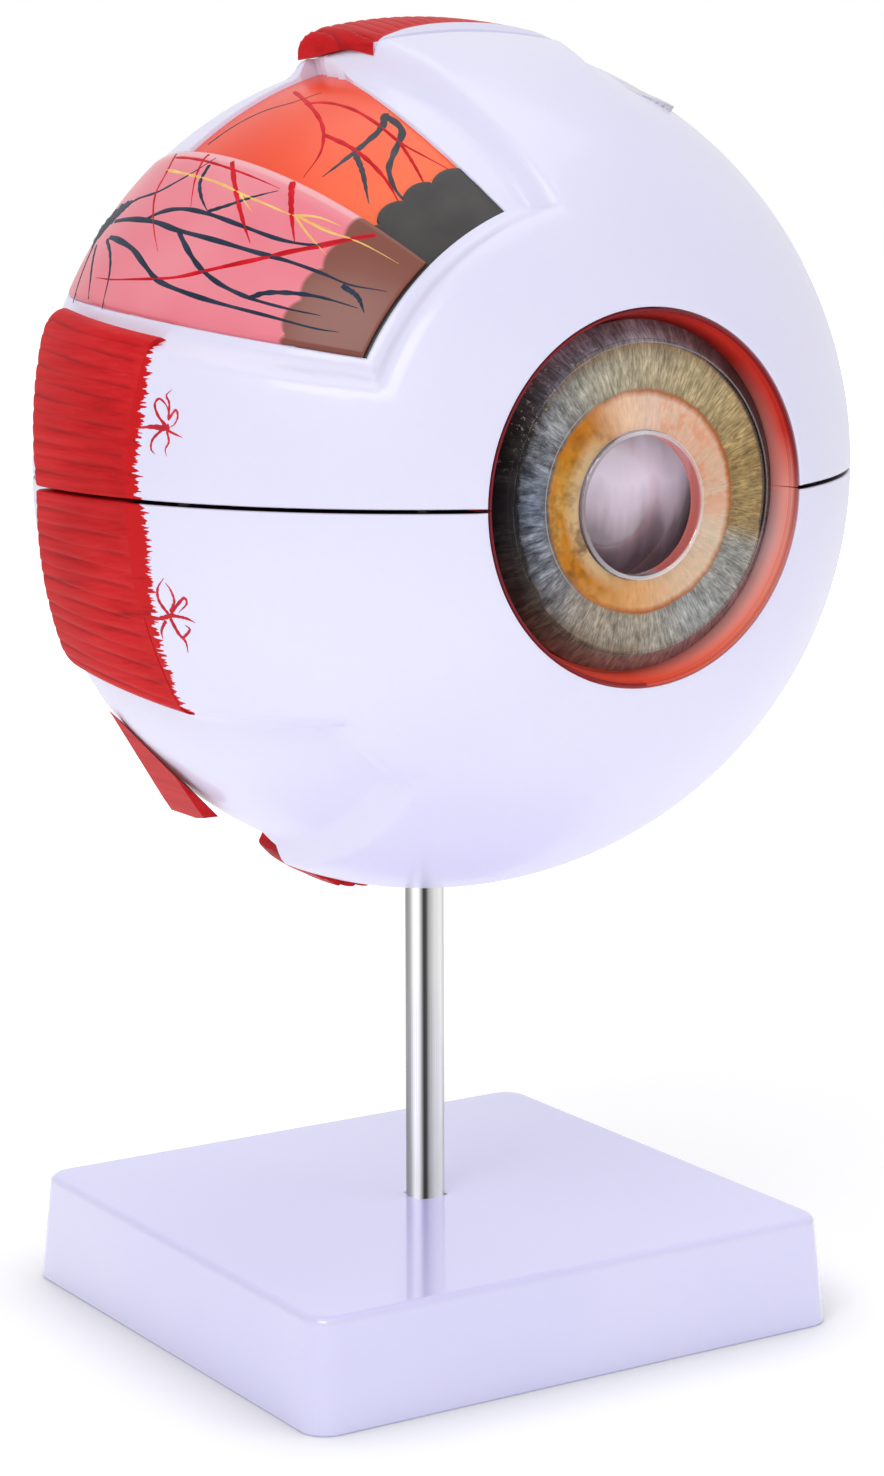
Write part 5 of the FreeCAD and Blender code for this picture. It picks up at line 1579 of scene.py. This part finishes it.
# %% The outer belt, and all three together
outer = belt(OUTER_BELT_PRINT_AND_LIGHT, 0.6, 0.4)
outer = tinted(outer, (20, 16, 18), ranged(streaks, 0.42, 0.62),
               side_mask((0.0, 0.25), (0.12, 0.6), (0.3, 0.8), (0.42, 0.35), (0.6, 0.5), (0.9, 0.15)))
# Painted glints above the temple side, on the outer belt and more faintly on the fibres.
painted_glints = times(ranged(specks, 0.60, 0.68),
                side_mask((0.28, 0.0), (0.33, 0.8), (0.44, 0.8), (0.48, 0.0)))
outer = tinted(outer, (205, 196, 190), painted_glints, 0.7)
fibre = tinted(fibre, (224, 212, 180), painted_glints, 0.35)

colour = mixed(ranged(edge_wobble, 17.8, 18.3), cream, fibre)
wider = side_mask((0.0, 0.3), (0.12, 0.8), (0.2, 1.8), (0.33, 1.8), (0.42, 0.4), (0.55, 0.6), (0.62, 1.0),
                  (0.78, 1.0), (0.80, 0.3))
ragged = times(wobble, side_mask((0.08, 0.0), (0.2, 2.2), (0.36, 2.2), (0.45, 0.0)))
colour = mixed(ranged(plus(ring, wider, ragged), 25.4, 25.9), colour, outer)
thin_line = levels(ranged(edge_wobble, 17.0, 19.0), (0.05, 0), (0.40, 0.8), (0.55, 1), (0.75, 0))
colour = tinted(colour, (172, 92, 40), thin_line,
                side_mask((0.0, 0.95), (0.1, 0.5), (0.2, 0.15), (0.4, 0.2), (0.5, 0.8), (0.7, 1), (0.8, 0.6),
                          (1.0, 0.95)))
pale_line = ranged(calc("ABSOLUTE", minus(ring, 18.6)), 0.14, 0.05)
colour = tinted(colour, (190, 186, 180), pale_line,
                side_mask((0.08, 0.0), (0.16, 0.6), (0.38, 0.6), (0.44, 0.0)))
rim_lines = levels(ranged(ring, 24.7, 26.7), (0.1, 0), (0.18, 0.3), (0.26, 0), (0.40, 0.05),
                   (0.48, 0.45), (0.56, 0))
colour = tinted(colour, (58, 42, 38), rim_lines)
wire(shader, Base_Color=colour)

settle(iris, "iris_print_disc", "iris", printed, ("iris_disc",), angle=30)
points = read(iris)
away = np.hypot(points[:, 0], points[:, 2])
from_pupil = np.hypot(points[:, 0], points[:, 2] + PUPIL_DROP)
blend = np.clip((away - IRIS_BORE) / (FACE_EDGE - IRIS_BORE), 0, 1)
note(iris, "ring", from_pupil + (away - from_pupil) * blend)
print("iris printed")

# %% [markdown]
# The clear cap covers the iris. It has a small step at the dome's edge and a collar round the pupil. It
# shows mostly by its reflections, so its cover grows with the angle of view. Highlights are painted on
# the collar's end and on the step, and the collar's inside wall glows a little with a painted reflection
# of the red lining on the nose side and is darker on the temple side.

# %% Clear cap
CAP_BACK = IRIS_FRONT - 0.05
CAP_FRONT = CAP_BACK - 0.5
BEAD = 0.14
LIP = CAP_FRONT - 0.3
COLLAR_INSIDE, COLLAR_OUTSIDE = 11.4, 12.2
COLLAR_BACK = IRIS_FRONT + 1.9
SOFT = 0.12
# Painted highlight on the collar's end round the pupil: (angles from straight up, strengths).
CAP_LIP_HIGHLIGHT = ((0, 45, 90, 150, 200, 270, 330, 360), (1.5, 0.9, 0.6, 2.0, 1.3, 0.3, 0.9, 1.5))

cap_profile = [(r, 0.0, face(CAP_FRONT)) for r in np.linspace(IRIS_EDGE, FACE_EDGE + 0.35, 10)]
cap_profile += [(FACE_EDGE + past, 0.0, face(CAP_FRONT - height)) for past, height in
                ((0.3, BEAD), (0.18, BEAD), (0.1, 0.0), (-0.3, 0.0), (-0.38, BEAD), (-0.5, BEAD))]
cap_profile += between(FACE_EDGE - 0.6, COLLAR_OUTSIDE + SOFT, 24, face(CAP_FRONT))
cap_profile += [(COLLAR_OUTSIDE, 1.0, face(CAP_FRONT - SOFT)), (COLLAR_OUTSIDE, 1.0, flat(LIP + SOFT)),
                (COLLAR_OUTSIDE - SOFT, 1.0, flat(LIP)), (COLLAR_INSIDE + SOFT, 1.0, flat(LIP)),
                (COLLAR_INSIDE, 1.0, flat(LIP + SOFT)), (COLLAR_INSIDE, 1.0, flat(COLLAR_BACK)),
                (COLLAR_OUTSIDE, 1.0, flat(COLLAR_BACK)), (COLLAR_OUTSIDE, 1.0, face(CAP_BACK))]
cap_profile += between(COLLAR_OUTSIDE + SOFT, FACE_EDGE, 16, face(CAP_BACK))
cap_profile += [(r, 0.0, face(CAP_BACK)) for r in np.linspace(FACE_EDGE + 0.2, IRIS_EDGE, 8)]
cap_profile.append(cap_profile[0])
cap = turned(cap_profile)


def clear(name, colour, least, most):
    """Thin clear plastic: shows its reflections, and covers what is behind it a little."""
    material, shader = surface(name, Metallic=0.6, Roughness=0.03, Base_Color=(*colour, 1.0))
    facing = node("Fresnel", {"IOR": 1.45}).outputs["Fac"]
    return material, shader, ranged(facing, 0.03, 0.9, least, most)


CAP_COLOUR = (0.95, 0.94, 0.97)
cap_clear, shader, cover = clear("cap_clear", CAP_COLOUR, 0.0, 0.07)
nose_wall, temple_wall = noted("nose_wall"), noted("temple_wall")
walls = plus(nose_wall, temple_wall)
cover = plus(cover, times(noted("collar"), 0.07), times(noted("edge"), 0.30),
             times(walls, 0.6))
# Painted reflection of the red lining on the collar's inside wall on the nose side, darker on the temple
# side; both glow a little.
tint = mixed(nose_wall, CAP_COLOUR, srgb(206, 104, 92))
tint = mixed(temple_wall, tint, srgb(92, 66, 66))
wire(shader, Base_Color=tint, Emission_Color=tint, Emission_Strength=times(walls, 0.25),
     Metallic=times(minus(1.0, walls), 0.6), Alpha=calc("MINIMUM", cover, 0.95))
settle(cap, "cornea_clear_cap", "iris", cap_clear, ("cornea_cap",), angle=35)
points = read(cap)
from_pupil = np.hypot(points[:, 0], points[:, 2] + PUPIL_DROP)
away = np.hypot(points[:, 0], points[:, 2])
note(cap, "collar", (from_pupil < COLLAR_OUTSIDE + 0.02))
# Painted highlights: on the step, brighter towards the top and the nose side, and on the collar's end.
bead_highlight = np.clip(0.3 + (points[:, 0] + points[:, 2]) / 80, 0.1, 0.5)
around = np.degrees(np.arctan2(points[:, 0], points[:, 2] + PUPIL_DROP)) % 360
lip_highlight = np.interp(around, *CAP_LIP_HIGHLIGHT)
inside = (from_pupil < COLLAR_INSIDE + 0.02) & (points[:, 1] > LIP + 0.1)
note(cap, "nose_wall", inside * np.clip(points[:, 0] / 4, 0, 1))
note(cap, "temple_wall", inside * np.clip(-points[:, 0] / 4, 0, 1))
on_lip = np.abs(points[:, 1] - LIP) < 0.02
on_bead = np.abs(points[:, 1] - CAP_FRONT + BEAD) < 0.01
note(cap, "edge", np.maximum(lip_highlight * on_lip, bead_highlight * on_bead))
print("cap rings:", len(cap_profile))

# %% [markdown]
# The lens is thick and steeper behind than in front, and it rests in the dish of the clear vitreous body.
# Through the pupil it looks a soft grey with darker clouds, and light and shade are painted on it: lighter
# high up and on the temple side, painted shade low down and towards the nose side, and a painted glow.

# %% Lens and vitreous body
LENS_R, LENS_TRIM, FRONT_SAG, REAR_SAG = 18.0, 0.42, 7.0, 10.0
LENS_FRONT = RIM_Y + 5.8
LENS_REAR = LENS_FRONT + FRONT_SAG + REAR_SAG


def lens_rings(sag, pole, way, radii):
    radius = (LENS_R ** 2 + sag ** 2) / (2 * sag)
    return [(r, 0.0, flat(pole + way * (radius - math.sqrt(radius ** 2 - r ** 2)))) for r in radii]


lens_radii = np.linspace(0.001, LENS_R - LENS_TRIM, 24)
lens_profile = lens_rings(FRONT_SAG, LENS_FRONT, 1, lens_radii)
lens_profile += lens_rings(REAR_SAG, LENS_REAR, -1, lens_radii[::-1])
lens_made = turned(lens_profile)

lens_grey, shader = surface("lens_grey", Roughness=0.12, Coat_Weight=0.8, Coat_Roughness=0.03)
spot = parts(place())
smoke = stretched_noise((95.0, 20.0, 26.0), 3.0, 0.55)
# Painted light and shade: lighter high up and on the temple side, darker low down and towards the nose side.
lift = plus(minus(spot["Z"], EYE.z), times(spot["X"], -0.12),
            times(minus(smoke, 0.5), 0.02))
shaded_tone = ramp(ranged(lift, -0.012, 0.012), [
    (0.05, srgb(62, 48, 54)), (0.25, srgb(92, 78, 86)), (0.42, srgb(140, 126, 138)),
    (0.6, srgb(160, 148, 162)), (0.8, srgb(150, 138, 150)), (1.0, srgb(120, 108, 118))])
wire(shader, Base_Color=shaded_tone, Emission_Color=shaded_tone, Emission_Strength=1.1)
settle(lens_made, "lens_clear_body", "lens_body", lens_grey, ("lens",), angle=40)

glassy, shader, cover = clear("vitreous_clear", (0.90, 0.93, 0.97), 0.10, 0.85)
wire(shader, Alpha=cover)
taken_over("vitreous_body", "vitreous_ball", "vitreous", glassy, 30)
print("lens and vitreous body made")

# %% [markdown]
# A pale floor and soft studio light. The floor and the world read white straight into the lens, and a
# soft contact shadow is painted on the floor where the base closes it in.

# %% Stage
CAMERA_WHITE = 1.0
LIGHT_FILL = 0.45
WHITE = (1.0, 1.0, 1.0, 1.0)


def stage_light(name, place_mm, size_mm, watts, seen=True):
    """Square lamp aimed at the eye. `seen` tells whether it shows in reflections."""
    spot = Vector(place_mm) * MM
    aim = (-spot).to_track_quat("-Z", "Y").to_euler()
    bpy.ops.object.light_add(type="AREA", location=EYE + spot, rotation=aim)
    lamp = bpy.context.object
    lamp.name = name
    lamp.data.shape = "RECTANGLE"
    lamp.data.size = lamp.data.size_y = size_mm * MM
    lamp.data.energy = watts
    lamp.visible_glossy = seen


stage_light("key", (-650, -420, 620), 500, 3.0)
stage_light("fill", (620, -700, 260), 600, 1.0, seen=False)
stage_light("top", (60, 60, 800), 700, 1.6)

world = bpy.context.scene.world or bpy.data.worlds.new("studio")
bpy.context.scene.world = world
world.use_nodes = True
canvas["tree"] = world.node_tree
world.node_tree.nodes.clear()
fill, seen = (node("Background", {"Color": WHITE, "Strength": strength}).outputs["Background"]
              for strength in (LIGHT_FILL, CAMERA_WHITE))
rays = node("LightPath").outputs
seen_share = calc("MAXIMUM", rays["Is Camera Ray"], times(rays["Is Glossy Ray"], 0.8))
choice = node("MixShader", {0: seen_share, 1: fill, 2: seen})
node("OutputWorld", {"Surface": choice.outputs["Shader"]})

select()
bpy.ops.mesh.primitive_plane_add(size=6.0, location=(0, 0, 0))
floor = bpy.context.object
floor.name = "floor"
floor_paint, shader = surface("floor_paint", Base_Color=(0.93, 0.93, 0.95, 1.0), Roughness=0.6)
seen_directly = node("LightPath").outputs["Is Camera Ray"]
away = node("VectorMath", {0: place()}, operation="LENGTH").outputs["Value"]
glow = ranged(seen_directly, 0.0, 1.0, 0.35, ranged(away, 0.09, 0.5, 0.30, 0.68))
# Painted shadow: the floor is darker and glows less where it is closed in by the base.
nearby = node("AmbientOcclusion", {"Distance": 0.022}, samples=12).outputs["AO"]
shade = ranged(nearby, 0.40, 0.95)
wire(shader, Base_Color=ramp(shade, [(0.0, (0.80,) * 3), (1.0, (0.93, 0.93, 0.94))]))
lit = node("Emission", {"Color": WHITE, "Strength": times(glow, shade)})
joined = node("AddShader", {0: shader.outputs["BSDF"], 1: lit.outputs["Emission"]})
wire(floor_paint.node_tree.nodes["Material Output"], Surface=joined.outputs["Shader"])
floor.data.materials.append(floor_paint)
